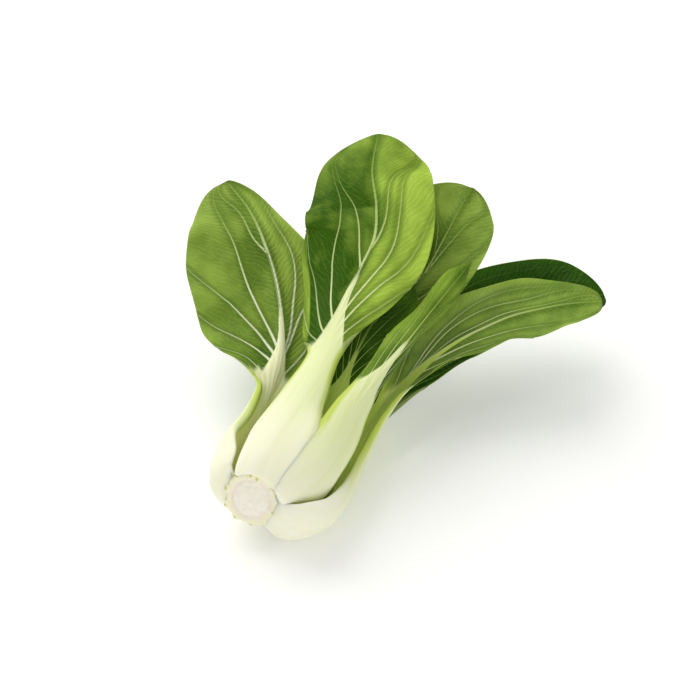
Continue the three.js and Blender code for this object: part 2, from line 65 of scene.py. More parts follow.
# Each leaf: path of the back of its midrib, then values along it as [share of length, ...].
# wide: half width on either side of the midrib; cup: how far either margin has turned in, in degrees;
# face: where the inner side looks; thick: thickness at the midrib; rib: half width of the thick band;
# fold: how much of the turn is close to the midrib; slant: how far either margin leans back towards the
# butt for each millimetre out; tip: how blunt the end is (0.5 is round, more is sharper).
LEAVES = {
    "leaf_left": {
        "path": [[-4, 5, -1], [-9, 0, -1.5], [-14, -2.5, -2], [-20, 0, -2], [-24.5, 9, -2], [-26.5, 24, -2],
            [-25.5, 44, -2], [-27, 66, -3], [-32, 88, 0], [-42, 107, 12], [-55, 121, 25], [-68, 131, 34],
            [-84, 139, 40]],
        "wide": [[0, 5, 5], [0.04, 10, 8], [0.08, 18, 12], [0.13, 24, 17], [0.19, 20, 20], [0.26, 12, 19],
            [0.34, 11, 15], [0.4, 11.5, 10], [0.45, 14, 11], [0.5, 20, 15], [0.57, 28, 22],
            [0.65, 37.5, 26], [0.77, 39.5, 20], [0.87, 32.5, 11], [0.94, 22.5, 7], [0.98, 15, 5],
            [1, 1.5, 1.5]],
        "cup": [[0, 20, 10], [0.08, 60, 35], [0.14, 70, 55], [0.22, 60, 60], [0.4, 55, 55], [0.48, 24, 42],
            [0.55, 10, 30], [1, 8, 14]],
        "slant": [[0, 0, 0], [0.36, 0, 0], [0.44, 0.6, 0], [0.52, 0.6, 0], [0.62, 0.3, 0], [0.75, 0, 0],
            [0.9, -0.2, 0.1], [1, -0.4, 0.2]],
        "face": [[0.3, 1, 0, 0.15], [0.5, 0.7, -0.3, 0.65], [0.7, 0.4, -0.5, 0.77], [1, 0.3, -0.5, 0.8]],
        "thick": [[0, 6], [0.08, 7.5], [0.2, 7.5], [0.45, 5], [0.6, 3], [1, 1.2]],
        "rib": [[0, 9], [0.2, 14], [0.45, 8], [0.6, 4], [1, 2]],
    },
    "leaf_low_right": {
        "path": [[3, 5, -2.5], [7, 0, -6], [12, -2, -8.5], [19, -2, -12], [26, 4, -17], [30, 15, -20.5],
            [30, 30, -21.5], [29, 50, -19], [28, 72, -15], [30, 92, -10], [38, 110, -4], [48, 126, 0],
            [60, 140, 3], [78, 153, 7], [98, 165, 9]],
        "wide": [[0, 6, 5], [0.05, 10.5, 14], [0.1, 14.5, 23], [0.15, 19, 25.5], [0.2, 24, 25],
            [0.35, 15, 14], [0.46, 10, 10], [0.54, 14, 8], [0.64, 25, 11], [0.78, 25, 17], [0.9, 18, 17],
            [0.97, 11, 12.5], [1, 1.5, 1.5]],
        "cup": [[0, 10, 10], [0.1, 30, 35], [0.2, 50, 62], [0.4, 55, 60], [0.6, 30, 25], [1, 12, 10]],
        "face": [[0.25, -0.75, 0, 0.65], [0.5, -0.7, 0.05, 0.7], [0.7, -0.3, -0.03, 0.95],
            [1, -0.15, -0.05, 0.98]],
        "thick": [[0, 6], [0.08, 7.5], [0.2, 8], [0.45, 5], [0.6, 3], [1, 1.2]],
        "rib": [[0, 9], [0.2, 14], [0.45, 8], [0.6, 4], [1, 2]],
    },
    "leaf_under_left": {
        "path": [[-2, 4, -4], [-5, 1, -11], [-8, 3, -18], [-11, 14, -25], [-13, 36, -28], [-15, 58, -30],
            [-18, 82, -32.5], [-23, 106, -35], [-29, 130, -37], [-34, 152, -38]],
        "wide": [[0, 6, 6], [0.08, 11, 11], [0.2, 19, 19], [0.35, 14, 14], [0.46, 10, 10], [0.54, 14, 14],
            [0.64, 27, 28], [0.8, 32, 34], [0.92, 24, 25], [0.97, 14, 14], [1, 1.5, 1.5]],
        "cup": [[0, 10, 10], [0.15, 50, 50], [0.4, 50, 50], [0.6, 20, 6], [1, 10, 2]],
        "face": [[0.25, 0.3, 0, 0.95], [0.5, 0.1, 0, 1], [1, 0.05, 0, 1]],
        "thick": [[0, 6], [0.08, 7.5], [0.2, 8], [0.45, 5], [0.6, 3], [1, 1.2]],
        "rib": [[0, 9], [0.2, 14], [0.45, 8], [0.6, 4], [1, 2]],
    },
    "leaf_far_right": {
        "path": [[1, 3, -4], [3, -1, -10], [6, 2, -18], [9, 13, -25], [12, 34, -29], [12.5, 58, -31.5],
            [17, 84, -29.5], [27, 112, -25.5], [44, 140, -19], [67, 165, -12.5], [95, 182, -8]],
        "wide": [[0, 6, 6], [0.08, 10, 8], [0.18, 18, 12], [0.35, 13, 10], [0.48, 9, 7.5], [0.58, 17, 6],
            [0.72, 31, 6], [0.86, 27, 7], [0.95, 19, 6], [1, 1.5, 1.5]],
        "cup": [[0, 10, 10], [0.15, 50, 50], [0.4, 50, 50], [0.6, 20, 20], [1, 10, 10]],
        "face": [[0.25, -0.25, 0, 0.95], [0.5, -0.1, -0.1, 1], [0.75, 0.2, -0.45, 0.85],
            [1, 0.2, -0.45, 0.85]],
        "thick": [[0, 6], [0.08, 7.5], [0.2, 8], [0.45, 5], [0.6, 3], [1, 1.2]],
        "rib": [[0, 9], [0.2, 14], [0.45, 8], [0.6, 4], [1, 2]],
    },
    "leaf_top": {
        "path": [[0, 5, 3], [1, 0, 9], [1.5, -1.5, 15], [3, 4, 23], [4.5, 14, 27.5], [5, 28, 29],
            [5, 48, 30], [4.5, 69, 32], [2.5, 91, 39], [3, 105, 45], [3.4, 120, 52], [-2, 134, 58],
            [-11, 149, 63], [-18, 170, 67]],
        "wide": [[0, 5, 5], [0.09, 12, 10], [0.19, 15, 14], [0.3, 12, 11], [0.42, 6.5, 8.5],
            [0.48, 8.5, 14], [0.56, 17, 20.8], [0.62, 21.5, 26.5], [0.68, 25, 32], [0.74, 26, 32.6],
            [0.8, 27, 32], [0.88, 27, 26.2], [0.94, 22, 19], [1, 1.5, 1.5]],
        "cup": [[0, 10, 10], [0.15, 50, 50], [0.4, 40, 40], [0.55, 25, 35], [0.75, 10, 20], [1, 10, 10]],
        "slant": [[0, 0, 0], [0.42, 0, 0.1], [0.48, 0.1, 0.4], [0.56, 0.1, 0.25], [0.65, 0.1, 0.17],
            [0.72, 0.05, 0], [0.8, 0, 0], [0.9, -0.1, 0.1], [1, -0.1, 0.2]],
        "face": [[0.3, -0.05, 0.1, -1], [0.5, 0, 0.3, -0.95], [0.75, -0.22, 0.37, -0.9],
            [1, -0.2, 0.4, -0.9]],
        "thick": [[0, 6], [0.08, 7.5], [0.2, 7.5], [0.45, 5], [0.6, 3], [1, 1.2]],
        "rib": [[0, 9], [0.2, 14], [0.45, 8], [0.6, 4], [1, 2]],
    },
    "leaf_right": {
        "path": [[3, 5, 3], [8, 0, 6], [14, -2, 9], [22, 3, 13], [28, 14, 17], [29.5, 30, 20],
            [28.5, 50, 24], [32, 71, 28], [37, 89, 34], [42, 105, 41], [46.5, 114, 48], [50.5, 120, 55]],
        "wide": [[0, 3, 5], [0.1, 3.5, 14], [0.15, 6, 15], [0.19, 13, 15.6], [0.24, 14.3, 16],
            [0.4, 12, 10.5], [0.52, 9, 7], [0.62, 9, 9], [0.75, 7.5, 10.5], [0.88, 9.5, 8.5],
            [0.95, 6.5, 6], [1, 1.5, 1.5]],
        "cup": [[0, 10, 10], [0.2, 45, 45], [0.45, 45, 45], [0.6, 70, 60], [1, 70, 60]],
        "fold": [[0, 1], [0.5, 1], [0.65, 2.5], [1, 2.5]],
        "tip": 0.9,
        "face": [[0.3, -0.85, 0.1, -0.5], [0.6, -0.6, 0.4, -0.65], [0.8, -0.32, 0.68, -0.65],
            [1, -0.32, 0.68, -0.65]],
        "thick": [[0, 6], [0.1, 7.5], [0.25, 7.5], [0.5, 5], [0.7, 3], [1, 1.2]],
        "rib": [[0, 9], [0.25, 13], [0.5, 8], [0.7, 4], [1, 2]],
    },
    "leaf_inner_right": {
        "path": [[6, 4, 2], [12, 10, 3], [17, 25, 4], [17, 45, 5], [14, 70, 5], [11, 92, 7],
            [12.5, 110, 12], [17, 123, 18], [22.5, 133, 27], [25.5, 146, 36], [27, 160, 43], [29, 172, 49]],
        "wide": [[0, 4, 4], [0.1, 9, 9], [0.2, 11, 11], [0.4, 7, 7], [0.5, 8, 8], [0.6, 14, 13],
            [0.75, 22, 19], [0.88, 22, 20], [0.96, 16, 15], [1, 1.5, 1.5]],
        "cup": [[0, 25, 25], [0.15, 60, 60], [0.4, 50, 50], [0.6, 20, 20], [1, 10, 10]],
        "face": [[0.25, -0.6, 0, 0.7], [0.5, -0.3, -0.2, 0.9], [0.7, 0.2, -0.5, 0.84],
            [1, 0.3, -0.6, 0.73]],
        "thick": [[0, 4], [0.2, 6], [0.45, 4], [0.6, 2.5], [1, 1.2]],
        "rib": [[0, 6], [0.2, 9], [0.45, 6], [0.6, 4], [1, 2]],
    },
    "leaf_inner_gap": {
        "path": [[4, 3, 6], [9, 10, 10], [13, 22, 14], [14.5, 42, 16], [14.5, 59, 17], [13.5, 73, 20],
            [14, 86, 25], [16, 98, 31], [17, 110, 37], [15, 122, 43]],
        "wide": [[0, 4, 4], [0.12, 8, 8], [0.3, 8, 8], [0.45, 5, 5], [0.55, 9, 8], [0.7, 16, 14],
            [0.85, 15, 14], [1, 1.5, 1.5]],
        "cup": [[0, 25, 25], [0.15, 45, 45], [0.5, 40, 40], [0.7, 25, 25], [1, 10, 10]],
        "face": [[0.25, -0.5, 0, -0.8], [0.6, -0.4, 0.4, -0.8], [1, -0.3, 0.5, -0.8]],
        "thick": [[0, 4], [0.2, 5], [0.45, 4], [0.6, 2.5], [1, 1.2]],
        "rib": [[0, 6], [0.2, 8], [0.45, 5], [0.6, 3], [1, 2]],
    },
    "leaf_inner_left": {
        "path": [[-3, 4, 4], [-5, 12, 7], [-6, 26, 9], [-5, 45, 9], [-4, 63, 11], [-5, 80, 16],
            [-9, 96, 24], [-16, 108, 33], [-24, 116, 41]],
        "wide": [[0, 4, 4], [0.12, 8, 8], [0.3, 9, 9], [0.45, 6, 6], [0.55, 9, 9], [0.7, 14, 11],
            [0.85, 13, 10], [1, 1.5, 1.5]],
        "cup": [[0, 25, 25], [0.15, 45, 45], [0.5, 40, 40], [0.7, 25, 25], [1, 10, 10]],
        "face": [[0.25, 0.8, 0, -0.5], [0.6, 0.5, 0.3, -0.75], [1, 0.4, 0.3, -0.8]],
        "thick": [[0, 4], [0.2, 5], [0.45, 4], [0.6, 2.5], [1, 1.2]],
        "rib": [[0, 6], [0.2, 8], [0.45, 5], [0.6, 3], [1, 2]],
    },
    "leaf_inner_back": {
        "path": [[-4, 4, -5], [-7, 10, -9], [-9, 24, -12], [-9, 45, -14], [-9, 70, -14], [-10, 94, -11],
            [-11, 116, -4], [-12, 134, 4], [-11, 150, 13]],
        "wide": [[0, 4, 4], [0.12, 8, 8], [0.3, 9, 9], [0.45, 7, 7], [0.55, 9, 9], [0.7, 18, 18],
            [0.85, 19, 19], [0.95, 12, 12], [1, 1.5, 1.5]],
        "cup": [[0, 25, 25], [0.15, 55, 55], [0.5, 50, 50], [0.7, 20, 20], [1, 10, 10]],
        "face": [[0.25, 0.7, 0, 0.7], [0.6, 0.4, -0.2, 0.9], [1, 0.2, -0.5, 0.85]],
        "thick": [[0, 4], [0.2, 6], [0.45, 4], [0.6, 2.5], [1, 1.2]],
        "rib": [[0, 6], [0.2, 9], [0.45, 6], [0.6, 4], [1, 2]],
    },
    "heart_leaf_right": {
        "path": [[2, 22, 0], [5, 32, 1], [6, 50, 3], [5, 68, 6], [5, 84, 11], [7, 96, 18]],
        "wide": [[0, 3, 3], [0.25, 6, 6], [0.5, 5, 5], [0.7, 9, 9], [0.85, 9, 9], [1, 1.5, 1.5]],
        "cup": [[0, 25, 25], [0.3, 60, 60], [0.7, 50, 50], [1, 30, 30]],
        "face": [[0.25, -1, 0, 0], [1, -0.8, -0.3, 0.4]],
        "thick": [[0, 3], [0.4, 3], [0.7, 2], [1, 1.2]],
        "rib": [[0, 4], [0.5, 4], [0.7, 3], [1, 2]],
    },
    "heart_leaf_left": {
        "path": [[0, 22, -2], [0, 32, -3], [2, 46, -3], [4, 60, -1], [5, 74, 2], [4, 86, 6]],
        "wide": [[0, 3, 3], [0.25, 6, 6], [0.5, 5, 5], [0.7, 8, 8], [0.85, 8, 8], [1, 1.5, 1.5]],
        "cup": [[0, 25, 25], [0.3, 60, 60], [0.7, 50, 50], [1, 30, 30]],
        "face": [[0.25, 1, 0, 0], [1, 0.8, -0.3, -0.2]],
        "thick": [[0, 3], [0.4, 3], [0.7, 2], [1, 1.2]],
        "rib": [[0, 4], [0.5, 4], [0.7, 3], [1, 2]],
    },
}

# Side veins of each half: rows of [place along, share of the way to the margin], the lowest vein first.
# A leaf that isn't listed gets the even ones below on both halves.
VEINS = {
    "leaf_left": (
        [
            [[0.45, 0], [0.52, 0.27], [0.6, 0.62], [0.68, 1]],
            [[0.47, 0], [0.54, 0.17], [0.67, 0.53], [0.8, 1]],
            [[0.5, 0], [0.56, 0.1], [0.7, 0.31], [0.84, 0.38], [0.97, 0.6]],
            [[0.78, 0], [0.83, 0.11], [0.92, 0.19], [0.99, 0.5]],
        ],
        [
            [[0.46, 0], [0.55, 0.2], [0.64, 0.42], [0.72, 1]],
            [[0.5, 0], [0.57, 0.16], [0.66, 0.26], [0.76, 0.52], [0.86, 0.66], [0.94, 1]],
        ],
    ),
    "leaf_top": (
        [
            [[0.46, 0], [0.52, 0.28], [0.64, 0.54], [0.8, 1]],
            [[0.49, 0], [0.56, 0.16], [0.68, 0.33], [0.84, 0.48], [0.96, 1]],
            [[0.69, 0], [0.76, 0.14], [0.86, 0.32], [0.95, 1]],
        ],
        [
            [[0.45, 0], [0.5, 0.4], [0.6, 0.74], [0.7, 1]],
            [[0.48, 0], [0.56, 0.3], [0.68, 0.5], [0.84, 0.54], [0.96, 1]],
            [[0.64, 0], [0.7, 0.18], [0.82, 0.35], [0.95, 0.9]],
        ],
    ),
    "leaf_low_right": (
        [
            [[0.48, 0], [0.6, 0.33], [0.7, 0.54], [0.8, 0.74], [0.9, 0.78], [0.98, 1]],
            [[0.5, 0], [0.62, 0.28], [0.74, 0.47], [0.86, 0.45], [0.98, 0.8]],
            [[0.55, 0], [0.66, 0.17], [0.78, 0.18], [0.92, 0.2], [0.99, 0.6]],
        ],
        [
            [[0.5, 0], [0.58, 0.35], [0.7, 0.7], [0.84, 1]],
            [[0.54, 0], [0.64, 0.22], [0.8, 0.46], [0.96, 0.9]],
        ],
    ),
    "leaf_far_right": (
        [
            [[0.5, 0], [0.62, 0.55], [0.76, 0.8], [0.9, 0.84], [0.98, 1]],
            [[0.52, 0], [0.64, 0.34], [0.8, 0.54], [0.97, 0.9]],
            [[0.56, 0], [0.7, 0.22], [0.85, 0.3], [0.99, 0.8]],
        ],
        [
            [[0.52, 0], [0.62, 0.4], [0.75, 0.7], [0.86, 1]],
            [[0.6, 0], [0.72, 0.3], [0.86, 0.5], [0.96, 1]],
        ],
    ),
    "leaf_inner_right": (
        [
            [[0.5, 0], [0.6, 0.4], [0.7, 0.7], [0.8, 1]],
            [[0.6, 0], [0.7, 0.3], [0.8, 0.6], [0.9, 1]],
            [[0.8, 0], [0.88, 0.28], [0.97, 1]],
        ],
        [
            [[0.48, 0], [0.58, 0.4], [0.68, 0.65], [0.78, 1]],
            [[0.56, 0], [0.68, 0.3], [0.8, 0.6], [0.9, 1]],
            [[0.74, 0], [0.85, 0.17], [0.93, 0.45], [0.98, 1]],
        ],
    ),
    "leaf_right": (
        [
            [[0.5, 0], [0.6, 0.3], [0.72, 0.6], [0.85, 1]],
            [[0.6, 0], [0.72, 0.25], [0.86, 0.5], [0.97, 1]],
        ],
        [
            [[0.4, 0], [0.53, 0.4], [0.7, 0.6], [0.88, 1]],
            [[0.5, 0], [0.62, 0.2], [0.76, 0.32], [0.95, 0.7]],
        ],
    ),
}
EVEN_VEINS = [
    [[0.46, 0], [0.54, 0.3], [0.64, 0.65], [0.74, 1]],
    [[0.5, 0], [0.6, 0.2], [0.72, 0.5], [0.84, 1]],
    [[0.58, 0], [0.68, 0.15], [0.8, 0.4], [0.92, 1]],
    [[0.72, 0], [0.8, 0.13], [0.88, 0.35], [0.97, 1]],
]
# The pale middle of a leaf, half width in millimetres: all of the stalk, then a midrib that tapers.
MIDRIB = [
    [0, 30], [0.36, 14], [0.42, 8], [0.48, 4.6], [0.54, 1.9], [0.62, 0.95], [0.76, 0.65], [0.9, 0.4],
    [1, 0.15],
]
# How light each half of a blade is painted, as painted light and shade: a half that faces the lamps is light
# green, one that faces away is deep green. 0 deep green, 1 light green.
SHADING_TONES = {
    "leaf_left": (0.47, 0.8), "leaf_low_right": (0.6, 0.5), "leaf_under_left": (0.4, 0.4),
    "leaf_far_right": (0.2, 0.35), "leaf_top": (0.8, 0.04), "leaf_right": (0.35, 0.55),
    "leaf_inner_right": (0.65, 0.5),
}
PLAIN_TONE = (0.35, 0.35)
# A crease across one half of a blade: where along, how high in millimetres, how much painted shade darkens
# it beyond, and how much painted light lightens it before it, beside the midrib.
CREASES = {("leaf_top", 1): (0.8, 1.3, -0.15, 0.28)}
# A margin with a painted strip of light, standing for a turned-up margin that catches the lamps, and a thin
# painted shadow beside it: where along the leaf it starts, is full, wanes and has ended, and how wide it is
# in millimetres.
PAINTED_LIGHT_MARGINS = {("leaf_top", 1): (0.42, 0.52, 0.56, 0.79, 4.5)}
FULL_WIDTH = 25  # half width of a grown blade; veins and waves are finer on a smaller one

# ---- stalk bases ----
CUT_FACING = (0.17, -0.91, 0.38)  # the knife went through a little slanted
COLLAR = 10.4  # radius of the butt's collar of scars
BASE_SETBACK = 0.6  # the stalks start this far behind the cut
BASE_SWELL = 1.15  # and come forward this much for each millimetre further out
BASE_SOFTNESS = 0.8  # how softly they are held behind it
BASE_REACH = (6, 10)  # fully up to this far outside the collar, and not at all beyond that
# Neighbouring stalks that make one bulb: the neighbour, how much lower this one lies, and where they part.
DOMES = {
    ("leaf_right", 1): ("leaf_top", 0.25, 0.28, 0.42),
    ("leaf_top", 0): ("leaf_right", 0, 0.22, 0.32),
}
DOME_SHARES = (0.05, 0.5)  # the shares across a half between which it follows the dome
DOME_PLACES = np.linspace(0.02, 0.46, 80)  # where midribs are measured for it
# Bases that lie under a neighbour's: depth, the share across where it starts, and where along it ends.
TUCKS = {
    ("leaf_right", 1): (4, 0.85, 0.26, 0.4),
    ("leaf_top", 0): (0.5, 0.85, 0.24, 0.34),
}

# ---- where along a leaf things change: start and end, as shares of its length ----
STALK_LINES_START = (0.15, 0.35)
BLADE_OPENS = (0.4, 0.5)
EDGE_THINS = (0.4, 0.55)
VEINS_RISE = (0.42, 0.55)
RUFFLE_STARTS = (0.5, 0.62)
STALK_SHADES = (0.5, 0.7)
MIDRIB_GREENS = (0.56, 0.68)
GREENS_MEET = (0.82, 1)
TIP_THINS = (0.9, 1)
# Stalks that stay pale for longer, by this share of the leaf's length.
STALK_REACH = {"leaf_low_right": 0.09, "leaf_right": 0.085, "leaf_left": 0.02}

# ---- thickness, veins and waves, in millimetres ----
BLADE_EDGE = 0.45  # a blade's thickness at its margin
STALK_EDGE = 1.2  # a stalk's thickness at its margin
VEIN_HEIGHT = 0.45  # how far a vein stands out of the back of a blade
FRONT_VEIN = 0.35  # the share of that which shows on its front
SIDE_VEIN = 0.55  # half width of a side vein where it leaves the midrib
THINNER_OUT = 0.22  # what it loses on its way to the margin
THINNER_UP = 0.25  # what it loses towards the tip
WIDEST_MIDRIB = 4  # more than this half width is stalk, not vein
VEIN_SIZE = {
    "leaf_left": 1.25, "leaf_right": 0.45, "leaf_inner_right": 0.55, "leaf_far_right": 0.6,
    "leaf_inner_gap": 0.5,
}
PAST_MARGIN = 5  # how fast a vein that has met the margin is carried on outside it
LEAST_SHARE = 0.002  # veins that have not parted yet stay this far apart
SPARE_VEIN = 0.4  # two more veins lie outside the margin, this share of the half width apart
PILLOW = 0.07  # height of the bulge between two veins, for each millimetre of the gap
TALLEST_PILLOW = 1.1
FLAT_MARGIN = 0.85  # the share of a bulge that is gone at the margin
RUFFLE = 1.3  # how far a blade's margin waves in and out
RUFFLES = {"leaf_top": 0.35}  # a blade that waves less
RUFFLE_LENGTH = 33  # one wave of it
SWELL = 0.5  # slow hills all over a leaf
SWELL_SIZE = 34
STALK_LINE = 0.08  # height of the fine lengthwise ridges of a stalk
STALK_LINE_GAP = 2.9
STALK_LINE_WAVER = 40  # they waver over this length
NOISE_WAVES = 7  # how many waves make one rolling noise
NOISE_STRETCH = (0.7, 1.4)  # how much their lengths differ
CREASE_WIDTH = 8
CREASE_LIGHT = 12  # how far below a crease the painted light reaches
CREASE_SHADE = 16  # how far above it the painted shade reaches
TONE_BLEND = 3  # the painted light and shade of both halves run together this close to the midrib

# ---- how fine the meshes are ----
# Steps along and across half of a leaf; the leaves not listed are nearly hidden.
FINENESS = {
    "leaf_left": (260, 60), "leaf_top": (260, 60), "leaf_low_right": (260, 56), "leaf_right": (240, 44),
    "leaf_inner_right": (200, 44), "leaf_far_right": (200, 40), "heart_leaf_right": (90, 20),
    "heart_leaf_left": (90, 20),
}
HIDDEN_FINENESS = (140, 26)
CUT_SIDES = 144
CUT_RINGS = 90

# ---- the cut butt, in millimetres ----
BUTT_PROFILE = ((8.8, 0), (11, 1.4), (11.6, 5), (9, 12), (5, 20))  # the CAD's: radius, distance from cut
BUTT_SIDES = 24  # its facets, which its box is measured from
CUT_PROFILE = [  # the finished one: [share of the way, radius, distance from the cut]
    [0, 0, -0.7], [0.3, 4, -0.6], [0.5, 7.4, -0.2], [0.56, 8.4, 0.3], [0.62, 9.4, 0.1],
    [0.68, 10.6, 0.1], [0.74, 11.7, 0.9], [0.8, 12, 3], [0.86, 11.6, 6], [0.92, 9.5, 11], [1, 5, 20],
]
# Scars around the cut: direction in degrees, distance from the middle, size.
SCARS = (
    (96, 10.6, 2.1), (80, 9.6, 1.9), (64, 10.8, 1.5), (50, 11.4, 2.0), (33, 9.8, 1.3), (20, 11, 2.3),
    (8, 9.9, 1.2), (112, 10.2, 1.6), (128, 11.6, 2.1), (147, 10.4, 1.4), (166, 11.2, 2.2), (186, 10.2, 1.3),
    (205, 11.2, 1.9), (222, 10, 1.3), (238, 10.9, 2.0), (258, 10, 1.2), (276, 10.9, 2.1), (296, 10.3, 1.4),
    (316, 11.3, 1.6), (338, 10.4, 1.9),
)
BARE_SCAR = 1.8  # scars up to this size show no green strand
SCAR_HEIGHT = 1.7
STRAND_END = 0.45  # a strand's end is this share of its scar
CUT_DEPTH = 20  # the slant of the cut has gone from the butt this far behind it
SCAR_DEPTH = (-4, -1)  # scars fade out between 1 and 4 mm behind the cut
COLLAR_RIM = (7, 10)  # radii between which the face turns into the collar
ROUGH_CUT = ((0.12, 3.5, 5), (0.07, 1.6, 6))  # height, size and seed of the tears in the cut
UNEVEN_COLLAR = (0.7, 7, 8)  # and of the collar's lumps

# ---- sizes in the finishes, in millimetres ----
VEINLET_GAP = 2.6  # from one veinlet to the next
VEINLET_LEAN = -0.9  # how steeply they run back from the veins
VEINLET_WAVER = (7.7, 7.0)  # over what length they waver, and how far
NET_CELL = 2.94  # a cell of the net of smallest veins
NET_BEND = (8.33, (9.0, 9.0, 9.0))  # over what length the net is bent, and how far
GREEN_PATCH = 18.2  # light and dark green drift over this
STRAND_SIZE = (3.57, 83.3)  # a pale strand of a stalk: across and along
SKIN_CELL = 0.588  # a cell of the skin, drawn coarser than it is so that it shows
PITH_MOTTLE = 2.5
PITH_GRAIN = 0.417
BUMP_HEIGHT = 0.3  # of the fine relief, both leaf and pith

# ---- leaf colours ----
# stalk_low, stalk_high: a stalk at the butt and at the blade; strand: its streaks; rim: its margins.
# net, veinlets, veins: how clearly each is drawn; fades: from where along veins grow faint; depth: how far
# light goes in; a relief below 0 makes veins furrows, above 0 ridges.
# The inner side of a leaf: smooth and a little glossy, with sunk veins.
INNER_SIDE = {
    "deep": "#355c00", "light": "#9bb84b", "vein": "#eef3cd", "fine_vein": "#a9c05e",
    "stalk_low": "#f8fb9c", "stalk_high": "#f8fbcb", "strand": "#fbfce8", "rim": "#b6cf42",
    "net": 0.05, "veinlets": 0.17, "veins": 0.9, "fades": 0.72,
    "relief": -0.5, "roughness": 0.42, "gloss": 0.15, "depth": 0.06,
}
# The same with a darker, yellow green stalk, on leaves that lie between the others: partly a stalk's own
# colour, partly painted shade.
YELLOW_SHADED_STALK = dict(
    INNER_SIDE, stalk_low="#d8e46c", stalk_high="#c0d660", strand="#dae694", vein="#dbe6a4",
)
# The same on a leaf at the back and deep in the gaps between the others: a deep green blade with green
# veins, partly its own colour and partly painted shade.
DEEP_SHADED_SIDE = dict(
    INNER_SIDE, deep="#153a00", light="#33600a", fine_vein="#5c8420", vein="#8fae4a",
    rim="#5c8420", stalk_high="#a3bb50", strand="#bccd74",
)
# The outer side of a leaf: duller under its wax, with veins that stand out, on a white stalk.
OUTER_SIDE = {
    "deep": "#2e5400", "light": "#aac94a", "vein": "#e6efae", "fine_vein": "#aec85f",
    "stalk_low": "#f2f1da", "stalk_high": "#e3eab6", "strand": "#dce5a6", "rim": "#bccf5c",
    "net": 0.02, "veinlets": 0.07, "veins": 0.8, "fades": 0.6,
    "relief": 0.4, "roughness": 0.46, "gloss": 0.1, "depth": 0.06,
}
# The same on a young leaf near the heart, lying in the gaps between the others: darker, on a greener stalk,
# partly its own colour and partly painted shade.
YOUNG_SHADED_SIDE = dict(
    OUTER_SIDE, deep="#1c4000", light="#6b9426", vein="#a9c05e", fine_vein="#7d9c38",
    stalk_low="#dfe5a6", stalk_high="#afc45c", strand="#bccd74", rim="#8fae3a",
)

# ---- the studio, in metres ----
FLOOR_SIZE = 6
FLOOR_GLOW = 0.17
AIR_GLOW = 0.56
# Soft boxes: name, where, size, watts, colour.
SOFT_BOXES = (
    ("key_above", (-0.45, 0.2, 0.85), (0.9, 0.9), 6.8, "#fffefb"),
    ("front_fill", (0.5, -0.9, 0.6), (0.9, 0.6), 2.1, "#ffffff"),
)
LIT_POINT = (0, 0, 0.03)
VIEW_AZIMUTH = math.radians(26)
VIEW_ELEVATION = math.radians(42)
VIEW_DISTANCE = 0.7525
VIEW_RIGHT, VIEW_UP = 0.0426, 0.0641  # from the cut to the middle of the view
LENS = 90


# ---- curves ----
def ease(value, start, end):
    """0 before start, 1 after end, and a soft climb between them."""
    share = np.clip((value - start) / (end - start), 0, 1)
    return share * share * (3 - 2 * share)


def unit(vectors):
    return vectors / np.linalg.norm(vectors, axis=-1, keepdims=True)


def curve(rows, places):
    """A smooth curve through every row of [place, value, value, ...], read at each of the places."""
    rows = np.array(rows, float)
    at, values = rows[:, 0], rows[:, 1:]
    count = len(at)
    before = np.maximum(np.arange(count) - 1, 0)
    after = np.minimum(np.arange(count) + 1, count - 1)
    slopes = (values[after] - values[before]) / (at[after] - at[before])[:, None]
    row = np.clip(np.searchsorted(at, places) - 1, 0, count - 2)
    span = (at[row + 1] - at[row])[:, None]
    s = np.clip((places[:, None] - at[row][:, None]) / span, 0, 1)
    start = (2 * s**3 - 3 * s**2 + 1) * values[row] + (s**3 - 2 * s**2 + s) * slopes[row] * span
    end = (3 * s**2 - 2 * s**3) * values[row + 1] + (s**3 - s**2) * slopes[row + 1] * span
    return start + end


def path_rows(points):
    """The path's points with their share of its length in front, and the length."""
    points = np.array(points, float)
    steps = np.linalg.norm(np.diff(points, axis=0), axis=1)
    lengths = np.concatenate([[0], np.cumsum(steps)])
    return np.column_stack([lengths / lengths[-1], points]), lengths[-1]


def soft_noise(points, size, seed):
    """Rolling hills between about -1 and 1 that are about as long as size, the same on every run."""
    rng = np.random.default_rng(seed)
    total = np.zeros(points.shape[:-1])
    for _ in range(NOISE_WAVES):
        direction = unit(rng.normal(size=3)) * 2 * math.pi / size * rng.uniform(*NOISE_STRETCH)
        total += np.sin(points @ direction + rng.uniform(0, 2 * math.pi))
    return total / math.sqrt(NOISE_WAVES)


def bulb_middle(y):
    share = ease(y, 0, AXIS_SHIFT_LENGTH)[:, None]
    return np.array(AXIS_SHIFT) * share + np.column_stack([0 * y, y, 0 * y])


def laid_down(points):
    """The head's own millimetres in metres, with the leafy end raised, measured from the cut."""
    x, y, z = np.moveaxis(points, -1, 0)
    turned = np.stack([
        x,
        y * math.cos(HEAD_PITCH) - z * math.sin(HEAD_PITCH),
        y * math.sin(HEAD_PITCH) + z * math.cos(HEAD_PITCH),
    ], axis=-1)
    return turned * MM


# ---- one leaf's surface ----
def frames(leaf, places):
    """Where the back of the midrib runs, and the three directions of the leaf there."""
    rows, _ = path_rows(leaf["path"])
    at = curve(rows, places)
    ahead = curve(rows, np.minimum(places + DIRECTION_STEP, 1))
    behind = curve(rows, np.maximum(places - DIRECTION_STEP, 0))
    settled = SETTLING * (1 - ease(places, ROOT, STALK_BASE))
    along = unit(unit(ahead - behind) + np.column_stack([0 * settled, settled, 0 * settled]))
    faces = leaf["face"]
    turned = unit(curve(faces, np.maximum(places, faces[0][0])))
    inward = unit(bulb_middle(at[:, 1] + LOOK_AHEAD) - at)
    share = ease(places, ROOT, faces[0][0])[:, None]
    face = inward + (turned - inward) * share
    face = unit(face - along * np.sum(face * along, axis=1)[:, None])
    return at, along, face, np.cross(along, face)


